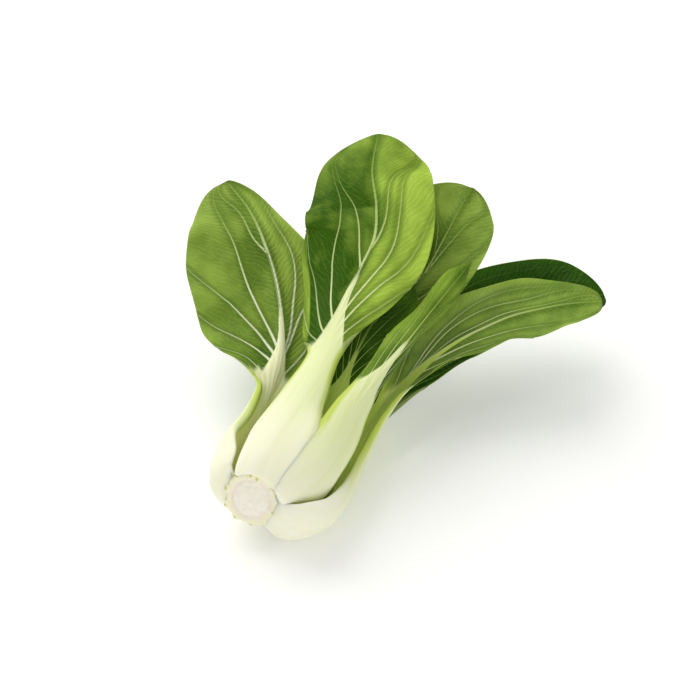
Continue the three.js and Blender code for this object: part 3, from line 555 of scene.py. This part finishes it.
def half_surface(leaf, half, places, shares):
    """The back of one half of a leaf: points and normals for each place along and share across."""
    at, along, face, side = frames(leaf, places)
    wide = curve(leaf["wide"], np.minimum(places, TIP_ROUND))[:, half]
    to_tip = np.clip((1 - places) / (1 - TIP_ROUND), LEAST_TIP, 1)
    wide = wide * to_tip ** leaf.get("tip", ROUND_TIP)
    cup = np.radians(curve(leaf["cup"], places)[:, half])[:, None]
    fold = curve(leaf["fold"], places) if "fold" in leaf else np.ones((len(places), 1))
    slant = curve(leaf["slant"], places)[:, half] if "slant" in leaf else np.zeros(len(places))
    sign = 1 if half else -1
    outward = sign * side - slant[:, None] * along

    def turn_at(share):
        return cup * (1 - (1 - share[None, :]) ** fold)

    turn = turn_at((shares[1:] + shares[:-1]) / 2)
    length = wide[:, None] * np.diff(shares)[None, :]
    out = np.cumsum(np.cos(turn) * length, axis=1)
    rise = np.cumsum(np.sin(turn) * length, axis=1)
    out = np.pad(out, ((0, 0), (1, 0)))[..., None]
    rise = np.pad(rise, ((0, 0), (1, 0)))[..., None]
    points = at[:, None, :] + out * outward[:, None, :] + rise * face[:, None, :]
    turn = turn_at(shares)[..., None]
    normals = np.cos(turn) * face[:, None, :] - sign * np.sin(turn) * side[:, None, :]
    return points, normals, wide


def vein_field(rows, places, shares, wide):
    """For each point of a half: a count that is whole on every vein, 0 on the midrib, and the gap there."""
    reach = []
    for vein in rows:
        first, last = vein[0], vein[-1]
        share = curve(vein, np.clip(places, first[0], last[0]))[:, 0]
        share = np.where(places < first[0], 0, share)
        reach.append(np.where(places > last[0], last[1] + (places - last[0]) * PAST_MARGIN, share))
    outermost = reach[0]
    spare = [outermost + SPARE_VEIN, outermost + 2 * SPARE_VEIN]
    stops = np.column_stack([0 * outermost] + reach[::-1] + spare)
    stops = np.maximum.accumulate(stops, axis=1) + np.arange(stops.shape[1]) * LEAST_SHARE
    rise = 1 / np.diff(stops, axis=1)
    inner = 2 / (1 / rise[:, 1:] + 1 / rise[:, :-1])
    slopes = np.column_stack([rise[:, 0], inner, rise[:, -1]])
    count = np.zeros((len(places), len(shares)))
    slope = np.zeros(count.shape)
    for row, (at, turn) in enumerate(zip(stops, slopes)):
        piece = np.clip(np.searchsorted(at, shares, side="right") - 1, 0, len(at) - 2)
        span = at[piece + 1] - at[piece]
        s = np.clip((shares - at[piece]) / span, 0, 1)
        start, end = turn[piece] * span, turn[piece + 1] * span
        count[row] = piece + (3 - 2 * s) * s**2 + (s**3 - 2 * s**2 + s) * start + (s**3 - s**2) * end
        climb = 6 * s * (1 - s) + (3 * s**2 - 4 * s + 1) * start + (3 * s**2 - 2 * s) * end
        slope[row] = np.maximum(climb / span, 1)
    return count, wide[:, None] / slope


def cut_slant(x, z):
    """How far along the head the slanting cut lies, at x across and z up from its middle."""
    return -(CUT_FACING[0] * x + CUT_FACING[2] * z) / CUT_FACING[1]


def behind_cut(points):
    """Stalks start at the butt's collar, a little behind the cut, and swell forward further out."""
    x, y, z = np.moveaxis(points, -1, 0)
    outside = np.hypot(x, z) - COLLAR
    limit = cut_slant(x, z) + BASE_SETBACK - BASE_SWELL * np.maximum(outside, 0)
    held = BASE_SOFTNESS * np.logaddexp(y / BASE_SOFTNESS, limit / BASE_SOFTNESS)
    share = 1 - ease(outside, *BASE_REACH)
    return np.stack([x, y + (held - y) * share, z], axis=-1)


def around_heart(points):
    """Points seen from the bulb's heart: how far up and round they lie, and how far away."""
    from_heart = points - BULB_HEART
    distance = np.linalg.norm(from_heart, axis=-1)
    climb = np.arccos(-from_heart[..., 1] / distance)
    return climb, np.arctan2(from_heart[..., 2], from_heart[..., 0]), distance


def domed(name, half, points, along, shares):
    """Fills the valley between two neighbouring stalks' bases out to one round bulb."""
    if (name, half) not in DOMES:
        return points
    other, lower, start, end = DOMES[name, half]
    climb, turn, distance = around_heart(points)
    midribs = []
    for neighbour in (name, other):
        rows, _ = path_rows(LEAVES[neighbour]["path"])
        climbs, turns, distances = around_heart(curve(rows, DOME_PLACES))
        midribs.append((np.interp(climb, climbs, turns), np.interp(climb, climbs, distances)))
    (own_turn, own_far), (other_turn, other_far) = midribs
    over = ease(turn, own_turn, other_turn)
    dome = own_far + (other_far - own_far) * over - lower
    share = ease(shares[None, :], *DOME_SHARES) * (1 - ease(along, start, end))
    return BULB_HEART + (points - BULB_HEART) * (1 + (dome / distance - 1) * share)[..., None]


def tucked(name, half, points, along, shares):
    """Where a stalk's base lies under its neighbour's, its margin dives in: both look grown together."""
    if (name, half) not in TUCKS:
        return points
    deep, first, start, end = TUCKS[name, half]
    x, y, z = np.moveaxis(points, -1, 0)
    middle = bulb_middle(y.ravel()).reshape(points.shape)
    inward = unit(np.stack([middle[..., 0] - x, 0 * y, middle[..., 2] - z], axis=-1))
    share = ease(shares[None, :], first, 1) * (1 - ease(along, start, end))
    return points + inward * (deep * share)[..., None]


# ---- one leaf's relief and greens ----
def blade_share(name, along, across, midrib):
    """1 where a leaf is green blade and 0 where it is pale: its stalk and the foot of its midrib."""
    from_stalk = along - STALK_REACH.get(name, 0)
    beside_midrib = ease(across, 0.8 * midrib, 1.15 * midrib + 0.3) * ease(from_stalk, *BLADE_OPENS)
    return np.maximum(beside_midrib, ease(from_stalk, *MIDRIB_GREENS))


def vein_halves(name, count, along, shares, midrib, scale):
    """Half the width of the vein nearest to each point: the midrib, or a side vein that thins outwards."""
    on_midrib = 1 - ease(count, 0.3, 0.7)
    up = np.clip((along - 0.5) * 2, 0, 1)
    side_vein = (SIDE_VEIN - THINNER_OUT * shares[None, :] - THINNER_UP * up) * (0.6 + 0.4 * scale)
    vein = side_vein + (np.minimum(midrib, WIDEST_MIDRIB) - side_vein) * on_midrib
    return vein * VEIN_SIZE.get(name, 1)


def thickness(leaf, places, along, across):
    """Full along the midrib, thin at the margins and less at the tip."""
    middle = curve(leaf["thick"], places)
    rib = curve(leaf["rib"], places)
    edge = STALK_EDGE + (BLADE_EDGE - STALK_EDGE) * ease(along, *EDGE_THINS)
    to_tip = 1 - ease(along, *TIP_THINS)
    return (edge + (middle - edge) * np.exp(-((across / rib) ** 2))) * (0.4 + 0.6 * to_tip)


def blade_shading_tone(name, half, along, shares, wide, length):
    """How light the green is painted, as painted light and shade: 0 is deep green, 1 is light green."""
    share = shares[None, :]
    tones = SHADING_TONES.get(name, PLAIN_TONE)
    meeting = np.maximum(np.exp(-((wide * share / TONE_BLEND) ** 2)), ease(along, *GREENS_MEET))
    shading_tone = tones[half] + (sum(tones) / 2 - tones[half]) * meeting
    # Lighter towards the margin and darker near the stalk: painted light and shade as well.
    shading_tone = shading_tone + 0.25 * (share - 0.5) - 0.2 * (1 - ease(along, *STALK_SHADES))
    # Painted shade beyond a crease, where the blade turns away from the lamps, and painted light before it.
    if (name, half) in CREASES:
        at, _, painted_shade_beyond, painted_light_before = CREASES[name, half]
        above = (along - at) * length
        below = ease(-above, -1, 2) * np.exp(-np.maximum(-above, 0) / CREASE_LIGHT)
        shading_tone = shading_tone + painted_light_before * below * (1 - 1.7 * ease(share, 0.3, 0.75))
        shading_tone = shading_tone + painted_shade_beyond * ease(above, -1, 1) * np.exp(-np.maximum(above, 0) / CREASE_SHADE)
    # Painted light on a strip along the margin, for a fold that the shape doesn't have, with a thin painted
    # shadow inside it.
    if (name, half) in PAINTED_LIGHT_MARGINS:
        start, full, waning, end, strip_width = PAINTED_LIGHT_MARGINS[name, half]
        strength = ease(along, start, full) * (1 - ease(along, waning, end))
        inside = wide * (1 - share) / (strip_width * np.maximum(strength, 0.05))
        lit_strip = 1 - ease(inside, 0.8, 1)
        shadow = ease(inside, 0.9, 1.1) * (1 - ease(inside, 1.1, 2.5))
        shading_tone = shading_tone + strength * (0.7 * lit_strip - 0.3 * shadow)
    return shading_tone


def leaf_half(name, leaf, half, places, shares, seed):
    """Everything that one half of a leaf has at each point: both skins, and what its finish needs."""
    points, normals, wide = half_surface(leaf, half, places, shares)
    along = places[:, None] + 0 * shares[None, :]
    points = domed(name, half, points, along, shares)
    points = tucked(name, half, points, along, shares)
    _, length = path_rows(leaf["path"])
    across = wide[:, None] * shares[None, :]
    scale = min(1, wide.max() / FULL_WIDTH)
    midrib = curve(MIDRIB, np.maximum(places - STALK_REACH.get(name, 0), 0)) * (0.5 + 0.5 * scale)
    blade = blade_share(name, along, across, midrib)
    rows = VEINS.get(name, (EVEN_VEINS, EVEN_VEINS))[half]
    count, gap = vein_field(rows, places, shares, wide)
    vein_half = vein_halves(name, count, along, shares, midrib, scale)
    thick = thickness(leaf, places, along, across)
    shading_tone = blade_shading_tone(name, half, along, shares, wide[:, None], length)

    # Slow hills, a bulge between every two veins towards the back, and a margin that waves.
    bulge = np.minimum(PILLOW * gap, TALLEST_PILLOW) * np.sin(math.pi * (count % 1)) * blade
    bulge = bulge * (1 - FLAT_MARGIN * ease(shares[None, :], 0.6, 1))
    wave = np.sin(2 * math.pi * (along * length / RUFFLE_LENGTH + seed * 0.37 + half * 0.5))
    ruffle = RUFFLES.get(name, RUFFLE) * wave * ease(shares[None, :], 0.55, 1) * ease(along, *RUFFLE_STARTS)
    swell = SWELL * soft_noise(points, SWELL_SIZE, seed) * (0.25 + 0.75 * blade)
    lift = -bulge + ruffle * scale + swell * scale
    if (name, half) in CREASES:
        at, high, _, _ = CREASES[name, half]
        from_crease = np.abs(along - at) * length
        lift = lift + high * np.exp(-from_crease / CREASE_WIDTH) * (1 - ease(shares[None, :], 0.4, 0.85))

    # Veins stand out of the back; a stalk has fine lengthwise ridges.
    from_vein = np.abs(count - np.round(count)) * gap
    to_tip = 1 - ease(along, *TIP_THINS)
    ridge = np.exp(-((from_vein / (1.3 * vein_half)) ** 2)) * ease(along, *VEINS_RISE) * to_tip
    ridge = VEIN_HEIGHT * (0.4 + 0.6 * scale) * ridge
    waver = 2 * soft_noise(points, STALK_LINE_WAVER, seed + 20)
    lines = np.sin(2 * math.pi * across / STALK_LINE_GAP + waver)
    lines = STALK_LINE * lines * (1 - blade) * ease(along, *STALK_LINES_START)
    back = behind_cut(points + normals * (lift - ridge - 0.3 * lines)[..., None])
    front = behind_cut(points + normals * (lift + thick - FRONT_VEIN * ridge + lines)[..., None])
    sign = 1 if half else -1
    facts = {
        "vein": np.stack([count, gap, vein_half], axis=-1),
        "place": np.stack([sign * across, along * length, blade], axis=-1),
        "share": np.stack([along, shares[None, :] + 0 * along, shading_tone], axis=-1),
    }
    return back, front, facts


# ---- meshes ----
def mesh_piece(name, points, faces, materials, face_material, facts):
    """A piece where it lies in the frame; facts are what its finish reads at each point."""
    mesh = bpy.data.meshes.new(name)
    points = laid_down(points) + HEAD_AT
    points[:, 2] = np.maximum(points[:, 2], 0)
    mesh.from_pydata(points.tolist(), [], faces)
    for label, values in facts.items():
        made = mesh.attributes.new(label, "FLOAT_VECTOR", "POINT")
        made.data.foreach_set("vector", np.ascontiguousarray(values, np.float32).ravel())
    for material in materials:
        mesh.materials.append(material)
    mesh.polygons.foreach_set("material_index", face_material)
    mesh.polygons.foreach_set("use_smooth", np.ones(len(faces), bool))
    mesh.update()
    piece = bpy.data.objects.new(name, mesh)
    bpy.context.scene.collection.objects.link(piece)
    return piece


def leaf_piece(name, leaf, seed, materials):
    """A closed leaf: its back and front skins, a rounded margin between them, and both ends capped."""
    steps, across = FINENESS.get(name, HIDDEN_FINENESS)
    even = np.linspace(0, 1, steps)
    places = even - CROWDING * np.sin(2 * math.pi * even)
    shares = np.linspace(0, 1, across)
    halves = [leaf_half(name, leaf, half, places, shares, seed) for half in (0, 1)]
    (left_back, left_front, left_facts), (right_back, right_front, right_facts) = halves
    back = np.concatenate([left_back[:, ::-1], right_back[:, 1:]], axis=1)
    front = np.concatenate([left_front[:, ::-1], right_front[:, 1:]], axis=1)

    def rim(row, inner):
        """The margin's outermost line, half a thickness further out than the skins."""
        middle = (back[:, row] + front[:, row]) / 2
        out = middle - (back[:, inner] + front[:, inner]) / 2
        thick = np.linalg.norm(front[:, row] - back[:, row], axis=1, keepdims=True)
        return (middle + unit(out) * thick * 0.5)[:, None]

    loop = np.concatenate([back, rim(-1, -2), front[:, ::-1], rim(0, 1)], axis=1)
    facts = {}
    for label in left_facts:
        both = np.concatenate([left_facts[label][:, ::-1], right_facts[label][:, 1:]], axis=1)
        around = [both, both[:, -1:], both[:, ::-1], both[:, :1]]
        facts[label] = np.concatenate(around, axis=1).reshape(-1, 3)
    corners = loop.shape[1]
    width = back.shape[1]
    ring, corner = np.meshgrid(np.arange(steps - 1), np.arange(corners), indexing="ij")
    following = (corner + 1) % corners
    quads = np.stack([
        ring * corners + corner,
        (ring + 1) * corners + corner,
        (ring + 1) * corners + following,
        ring * corners + following,
    ], axis=-1).reshape(-1, 4)
    is_front = ((corner > width) & (corner < 2 * width)).ravel()
    faces = quads.tolist()
    sides = is_front.astype(int).tolist()
    last = (steps - 1) * corners
    faces.append(list(range(corners)))
    faces.append(list(range(last, last + corners))[::-1])
    sides += [0, 0]
    piece = mesh_piece(name + "_leaf", loop.reshape(-1, 3), faces, materials, sides, facts)
    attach(piece, "root")
    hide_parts(name)


# ---- the cut butt ----
def head_place():
    """Where the middle of the cut lies in the frame: the CAD butt's box against the one worked out here."""
    angle = 2 * math.pi * np.arange(BUTT_SIDES) / BUTT_SIDES
    rings = []
    for index, (radius, y) in enumerate(BUTT_PROFILE):
        x, z = radius * np.cos(angle), radius * np.sin(angle)
        slant = 1 - index / (len(BUTT_PROFILE) - 1)
        rings.append(np.stack([x, y + cut_slant(x, z) * slant, z], axis=-1))
    return np.array(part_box("stem_butt")[0]) - laid_down(np.concatenate(rings)).min(axis=0)


def butt_piece(material):
    """The stem end: a moist cut face, a collar of scars where leaves were snapped off, and the core."""
    radius, y = curve(CUT_PROFILE, np.linspace(0, 1, CUT_RINGS)).T
    angle = 2 * math.pi * np.arange(CUT_SIDES) / CUT_SIDES
    x = radius[:, None] * np.cos(angle)
    z = radius[:, None] * np.sin(angle)
    slant = 1 - ease(y, 0, CUT_DEPTH)[:, None]
    points = np.stack([x, y[:, None] + cut_slant(x, z) * slant, z], axis=-1)
    scars = np.zeros(x.shape)
    dots = np.zeros(x.shape)
    near_face = ease(-y, *SCAR_DEPTH)[:, None]
    for degrees, distance, size in SCARS:
        turn = math.radians(degrees)
        away = np.hypot(x - distance * math.cos(turn), z - distance * math.sin(turn)) / size
        scars = np.maximum(scars, np.exp(-(away**3)) * near_face)
        if size > BARE_SCAR:
            dots = np.maximum(dots, np.exp(-((away / STRAND_END) ** 2)) * near_face)
    outward = np.stack([np.cos(angle), 0 * angle, np.sin(angle)], axis=-1)[None]
    rim_share = ease(radius, *COLLAR_RIM)[:, None, None]
    lift = np.array(CUT_FACING) * (1 - 0.5 * rim_share) + outward * 0.5 * rim_share
    rough = sum(height * soft_noise(points, size, seed) for height, size, seed in ROUGH_CUT)
    height, size, seed = UNEVEN_COLLAR
    uneven = outward * (height * soft_noise(points, size, seed))[..., None] * rim_share
    points = points + lift * (SCAR_HEIGHT * scars + rough)[..., None] + uneven
    facts = {
        "place": np.stack([radius[:, None] + 0 * x, y[:, None] + 0 * x, dots], axis=-1).reshape(-1, 3),
        "share": points.reshape(-1, 3),
    }
    ring, corner = np.meshgrid(np.arange(CUT_RINGS - 1), np.arange(CUT_SIDES), indexing="ij")
    following = (corner + 1) % CUT_SIDES
    faces = np.stack([
        ring * CUT_SIDES + corner,
        ring * CUT_SIDES + following,
        (ring + 1) * CUT_SIDES + following,
        (ring + 1) * CUT_SIDES + corner,
    ], axis=-1).reshape(-1, 4).tolist()
    faces.append(list(range((CUT_RINGS - 1) * CUT_SIDES, CUT_RINGS * CUT_SIDES)))
    piece = mesh_piece("cut_stem_butt", points.reshape(-1, 3), faces, [material], [0] * len(faces), facts)
    merge_middle(piece)
    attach(piece, "root")
    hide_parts("stem_butt")


def merge_middle(piece):
    """Joins the innermost ring, which is one point, so that no face has no area."""
    mesh = bmesh.new()
    mesh.from_mesh(piece.data)
    bmesh.ops.remove_doubles(mesh, verts=mesh.verts, dist=0.01 * MM)
    bmesh.ops.recalc_face_normals(mesh, faces=mesh.faces)
    mesh.to_mesh(piece.data)
    mesh.free()


# ---- finishes ----
def shade(code):
    """An sRGB hex colour as linear red, green, blue and alpha."""
    parts = [int(code[i:i + 2], 16) / 255 for i in (1, 3, 5)]
    return [p / 12.92 if p <= 0.04045 else ((p + 0.055) / 1.055) ** 2.4 for p in parts] + [1]


def node(tree, kind, inputs=None, **settings):
    """Adds a node with its settings; an input takes a value, an output, or a node's first output."""
    made = tree.nodes.new("ShaderNode" + kind)
    for name, value in settings.items():
        setattr(made, name, value)
    for name, value in (inputs or {}).items():
        if isinstance(value, bpy.types.Node):
            value = next(output for output in value.outputs if output.enabled)
        if isinstance(value, bpy.types.NodeSocket):
            tree.links.new(value, made.inputs[name])
        else:
            made.inputs[name].default_value = value
    return made


def new_material(name):
    material = bpy.data.materials.new(name)
    material.use_nodes = True
    tree = material.node_tree
    tree.nodes.clear()
    return material, tree


def leaf_finish(name, look):
    """Fresh leaf tissue under a thin wax: satin, a little see-through, pale where the veins run."""
    material, tree = new_material(name)
    colours = {"data_type": "RGBA"}
    soft = {"interpolation_type": "SMOOTHSTEP"}
    times = {"operation": "MULTIPLY"}
    times_plus = {"operation": "MULTIPLY_ADD"}
    vein, place, share = [
        node(tree, "SeparateXYZ", {0: node(tree, "Attribute", attribute_name=label).outputs["Vector"]})
        for label in ("vein", "place", "share")
    ]
    count, gap, vein_half = vein.outputs
    across, length, blade = place.outputs
    along, margin, shading_tone = share.outputs
    flat = node(tree, "CombineXYZ", {0: across, 1: length})

    # Veins: the count is whole on each one; the gap turns that into millimetres.
    apart = node(tree, "Math", {0: count, 1: 0.5}, operation="PINGPONG")
    from_vein = node(tree, "Math", {0: apart, 1: gap}, **times)
    outer = node(tree, "Math", {0: vein_half, 1: 1.3}, **times)
    inner = node(tree, "Math", {0: vein_half, 1: 0.4}, **times)
    on_vein = node(tree, "MapRange", {0: from_vein, 1: outer, 2: inner}, **soft)
    painted_shade_by_vein = node(tree, "MapRange", {0: from_vein, 1: 3.6, 2: 0.8}, **soft)
    # Veinlets leave the veins at a slant and waver.
    waver_size, waver_reach = VEINLET_WAVER
    waver = node(tree, "TexNoise", {"Vector": flat, "Scale": 1 / waver_size, "Detail": 2.0})
    outward = node(tree, "Math", {0: across}, operation="ABSOLUTE")
    leaning = node(tree, "Math", {0: outward, 1: VEINLET_LEAN, 2: length}, **times_plus)
    wavy = node(tree, "Math", {0: waver, 1: waver_reach, 2: leaning}, **times_plus)
    counted = node(tree, "Math", {0: wavy, 1: 1 / VEINLET_GAP}, **times)
    between = node(tree, "Math", {0: counted, 1: 0.5}, operation="PINGPONG")
    veinlet = node(tree, "MapRange", {0: between, 1: 0.16, 2: 0.02}, **soft)
    pillow = node(tree, "MapRange", {0: between, 1: 0.0, 2: 0.5}, **soft)
    # The net of smallest veins.
    bend_size, bend_reach = NET_BEND
    bent = node(tree, "TexNoise", {"Vector": flat, "Scale": 1 / bend_size, "Detail": 2.0}).outputs["Color"]
    net_place = node(tree, "VectorMath", {0: bent, 1: bend_reach, 2: flat}, **times_plus)
    net = node(tree, "TexVoronoi", {"Vector": net_place, "Scale": 1 / NET_CELL}, feature="DISTANCE_TO_EDGE")
    net_line = node(tree, "MapRange", {0: net, 1: 0.12, 2: 0.02}, **soft)

    # The blade: light and dark green drift, painted shade beside the veins where the blade dips and catches
    # no sheen, and the veins over both.
    drift = node(tree, "TexNoise", {"Vector": flat, "Scale": 1 / GREEN_PATCH, "Detail": 3.0})
    patch = node(tree, "MapRange", {0: drift, 1: 0.3, 2: 0.7, 3: -0.2, 4: 0.2}, **soft)
    # The blade's painted light and shade, with the random drift of its own greens added to it.
    light = node(tree, "Math", {0: patch, 1: shading_tone}, use_clamp=True, operation="ADD")
    green = node(tree, "Mix", {0: light, 6: shade(look["deep"]), 7: shade(look["light"])}, **colours)
    # Painted shade: a deeper green beside the veins.
    shaded = node(tree, "Math", {0: painted_shade_by_vein, 1: 0.45}, **times)
    green = node(tree, "Mix", {0: shaded, 6: green, 7: shade(look["deep"])}, **colours)
    for line, clear in ((net_line, look["net"]), (veinlet, look["veinlets"])):
        faint = node(tree, "Math", {0: line, 1: clear}, **times)
        green = node(tree, "Mix", {0: faint, 6: green, 7: shade(look["fine_vein"])}, **colours)
    clear, faded = look["veins"], 0.3 * look["veins"]
    outwards = node(tree, "MapRange", {0: margin, 1: 0.2, 2: 1.0, 3: clear, 4: faded}, **soft)
    upwards = node(tree, "MapRange", {0: along, 1: look["fades"], 2: 1.05, 3: 1.0, 4: 0.3}, **soft)
    fading = node(tree, "Math", {0: outwards, 1: upwards}, **times)
    plain = node(tree, "Math", {0: on_vein, 1: fading}, **times)
    higher = node(tree, "MapRange", {0: along, 1: look["fades"] - 0.05, 2: 0.95}, **soft)
    low, high = shade(look["vein"]), shade(look["fine_vein"])
    vein_green = node(tree, "Mix", {0: higher, 6: low, 7: high}, **colours)
    green = node(tree, "Mix", {0: plain, 6: green, 7: vein_green}, **colours)

    # The stalk: white at the butt, yellower and greener towards the blade and at its margins.
    climb = node(tree, "MapRange", {0: along, 1: 0.08, 2: 0.42}, **soft)
    low, high = shade(look["stalk_low"]), shade(look["stalk_high"])
    pale = node(tree, "Mix", {0: climb, 6: low, 7: high}, **colours)
    strand_width, strand_length = STRAND_SIZE
    drawn_out = node(tree, "VectorMath", {0: flat, 1: (1 / strand_width, 1 / strand_length, 0.0)}, **times)
    strands = node(tree, "TexNoise", {"Vector": drawn_out, "Scale": 1.0, "Detail": 3.0})
    strand = node(tree, "MapRange", {0: strands, 1: 0.42, 2: 0.68}, **soft)
    growing = node(tree, "MapRange", {0: along, 1: 0.1, 2: 0.4, 3: 0.12, 4: 0.5}, **soft)
    strand = node(tree, "Math", {0: strand, 1: growing}, **times)
    pale = node(tree, "Mix", {0: strand, 6: pale, 7: shade(look["strand"])}, **colours)
    at_rim = node(tree, "MapRange", {0: margin, 1: 0.7, 2: 1.0}, **soft)
    growing = node(tree, "MapRange", {0: along, 1: 0.16, 2: 0.4}, **soft)
    at_rim = node(tree, "Math", {0: at_rim, 1: growing}, **times)
    pale = node(tree, "Mix", {0: at_rim, 6: pale, 7: shade(look["rim"])}, **colours)
    # Where the stalk ends, its white runs out into the blade in streaks.
    streaked = node(tree, "Math", {0: strands, 1: 1.0, 2: blade}, **times_plus)
    streaked = node(tree, "MapRange", {0: streaked, 1: 0.75, 2: 1.25}, **soft)
    colour = node(tree, "Mix", {0: streaked, 6: pale, 7: green}, **colours)

    # Skin: its cells all over, and on the blade the net, the veinlets and the bulges between them.
    cells = node(tree, "TexNoise", {"Vector": flat, "Scale": 1 / SKIN_CELL, "Detail": 1.0})
    height = node(tree, "Math", {0: cells, 1: 0.25}, **times)
    for part, share_of_relief in ((net_line, 0.3), (veinlet, 1.0), (pillow, -0.8)):
        on_blade = node(tree, "Math", {0: part, 1: blade}, **times)
        height = node(tree, "Math", {0: on_blade, 1: look["relief"] * share_of_relief, 2: height},
                      **times_plus)
    bump = node(tree, "Bump", {"Height": height, "Distance": BUMP_HEIGHT * MM, "Strength": 0.7})
    rougher = look["roughness"] + 0.05
    wax = node(tree, "MapRange", {0: drift, 1: 0.3, 2: 0.7, 3: rougher - 0.1, 4: rougher})
    see_through = node(tree, "MapRange", {0: blade, 3: 0.75, 4: look["depth"]})
    skin = node(tree, "BsdfPrincipled", {
        "Base Color": colour,
        "Roughness": wax,
        "IOR": 1.4,
        "Specular IOR Level": look["gloss"],
        "Subsurface Weight": see_through,
        "Subsurface Radius": (1.0, 0.95, 0.5),
        "Subsurface Scale": 3 * MM,
        "Normal": bump,
    })
    node(tree, "OutputMaterial", {"Surface": skin})
    return material


def cut_stem_finish():
    """Wet cut stem: cream pith, a rosy ring where it has dried, and green dots where strands end."""
    material, tree = new_material("cut_stem_pith")
    colours = {"data_type": "RGBA"}
    soft = {"interpolation_type": "SMOOTHSTEP"}
    place = node(tree, "SeparateXYZ", {0: node(tree, "Attribute", attribute_name="place").outputs["Vector"]})
    own = node(tree, "Attribute", attribute_name="share").outputs["Vector"]
    radius, _, dots = place.outputs
    mottle = node(tree, "TexNoise", {"Vector": own, "Scale": 1 / PITH_MOTTLE, "Detail": 4.0})
    uneven = node(tree, "Math", {0: mottle, 1: 4.0, 2: radius}, operation="MULTIPLY_ADD")
    core = node(tree, "MapRange", {0: mottle, 1: 0.35, 2: 0.65}, **soft)
    colour = node(tree, "Mix", {0: core, 6: shade("#f8f3e6"), 7: shade("#f3ecdc")}, **colours)
    dried = node(tree, "MapRange", {0: uneven, 1: 9.0, 2: 10.0}, **soft)
    ended = node(tree, "MapRange", {0: uneven, 1: 11.8, 2: 10.6, 4: 0.6}, **soft)
    rosy = node(tree, "Math", {0: dried, 1: ended}, operation="MULTIPLY")
    colour = node(tree, "Mix", {0: rosy, 6: colour, 7: shade("#f1e8d5")}, **colours)
    outside = node(tree, "MapRange", {0: uneven, 1: 10.6, 2: 11.8}, **soft)
    colour = node(tree, "Mix", {0: outside, 6: colour, 7: shade("#f4f0cf")}, **colours)
    spot = node(tree, "MapRange", {0: dots, 1: 0.25, 2: 0.95, 4: 0.85}, **soft)
    colour = node(tree, "Mix", {0: spot, 6: colour, 7: shade("#c3c552")}, **colours)
    grain = node(tree, "TexNoise", {"Vector": own, "Scale": 1 / PITH_GRAIN, "Detail": 2.0})
    bump = node(tree, "Bump", {"Height": grain, "Distance": BUMP_HEIGHT * MM, "Strength": 0.5})
    flesh = node(tree, "BsdfPrincipled", {
        "Base Color": colour,
        "Roughness": 0.45,
        "IOR": 1.4,
        "Subsurface Weight": 0.3,
        "Subsurface Radius": (1.0, 0.9, 0.7),
        "Subsurface Scale": 2 * MM,
        "Normal": bump,
    })
    node(tree, "OutputMaterial", {"Surface": flesh})
    return material


# ---- the studio ----
def studio_floor():
    """White paper, dull, with a faint glow that keeps it as bright as the air around it."""
    bpy.ops.mesh.primitive_plane_add(size=FLOOR_SIZE)
    floor = bpy.context.object
    floor.name = "floor"
    material, tree = new_material("white_paper_sweep")
    paper = node(tree, "BsdfPrincipled", {
        "Base Color": shade("#f3f3f2"),
        "Roughness": 0.9,
        "Emission Color": shade("#ffffff"),
        "Emission Strength": FLOOR_GLOW,
    })
    node(tree, "OutputMaterial", {"Surface": paper})
    floor.data.materials.append(material)


def studio_light():
    """Soft boxes aimed at the head, in white air."""
    for name, at, size, watts, colour in SOFT_BOXES:
        lamp = bpy.data.lights.new(name, "AREA")
        lamp.shape = "RECTANGLE"
        lamp.size, lamp.size_y = size
        lamp.energy = watts
        lamp.color = shade(colour)[:3]
        light = bpy.data.objects.new(name, lamp)
        light.location = at
        light.rotation_euler = (Vector(LIT_POINT) - Vector(at)).to_track_quat("-Z", "Y").to_euler()
        bpy.context.scene.collection.objects.link(light)
    world = bpy.data.worlds.new("studio_air")
    world.use_nodes = True
    world.node_tree.nodes["Background"].inputs["Color"].default_value = shade("#ffffff")
    world.node_tree.nodes["Background"].inputs["Strength"].default_value = AIR_GLOW
    bpy.context.scene.world = world


def camera():
    """Looks down at the head from its cut end, a little from its right."""
    forward = Vector((
        -math.sin(VIEW_AZIMUTH) * math.cos(VIEW_ELEVATION),
        math.cos(VIEW_AZIMUTH) * math.cos(VIEW_ELEVATION),
        -math.sin(VIEW_ELEVATION),
    ))
    right = Vector((math.cos(VIEW_AZIMUTH), math.sin(VIEW_AZIMUTH), 0))
    target = Vector(HEAD_AT) + right * VIEW_RIGHT + right.cross(forward) * VIEW_UP
    lens = bpy.data.cameras.new("studio_camera")
    lens.lens = LENS
    lens.clip_start = 10 * MM
    seen = bpy.data.objects.new("studio_camera", lens)
    seen.location = target - forward * VIEW_DISTANCE
    seen.rotation_euler = forward.to_track_quat("-Z", "Y").to_euler()
    bpy.context.scene.collection.objects.link(seen)
    bpy.context.scene.camera = seen


HEAD_AT = head_place()
outer = leaf_finish("leaf_outer_side", OUTER_SIDE)
young = leaf_finish("young_leaf_outer_side_painted_shade", YOUNG_SHADED_SIDE)
inner = leaf_finish("leaf_inner_side", INNER_SIDE)
# Stalks lying in the grooves between other leaves get a darker yellow green that is partly painted shade.
yellow = leaf_finish("leaf_inner_side_yellow_shaded_stalk", YELLOW_SHADED_STALK)
# Leaves at the back and in the gaps get a deep green that is partly painted shade.
deep = leaf_finish("leaf_inner_side_deep_green_painted_shade", DEEP_SHADED_SIDE)
# Young leaves in the gaps get a darker green that is partly painted shade.
outer_sides = {"leaf_inner_gap": young, "leaf_inner_left": young, "heart_leaf_right": young}
inner_sides = {
    "leaf_low_right": yellow, "leaf_inner_right": yellow, "leaf_inner_gap": deep, "leaf_far_right": deep,
    "leaf_inner_left": deep, "leaf_inner_back": deep,
}
butt_piece(cut_stem_finish())
for seed, (name, leaf) in enumerate(LEAVES.items()):
    leaf_piece(name, leaf, seed, [outer_sides.get(name, outer), inner_sides.get(name, inner)])
studio_floor()
studio_light()
camera()
bpy.context.scene.view_settings.view_transform = "Standard"
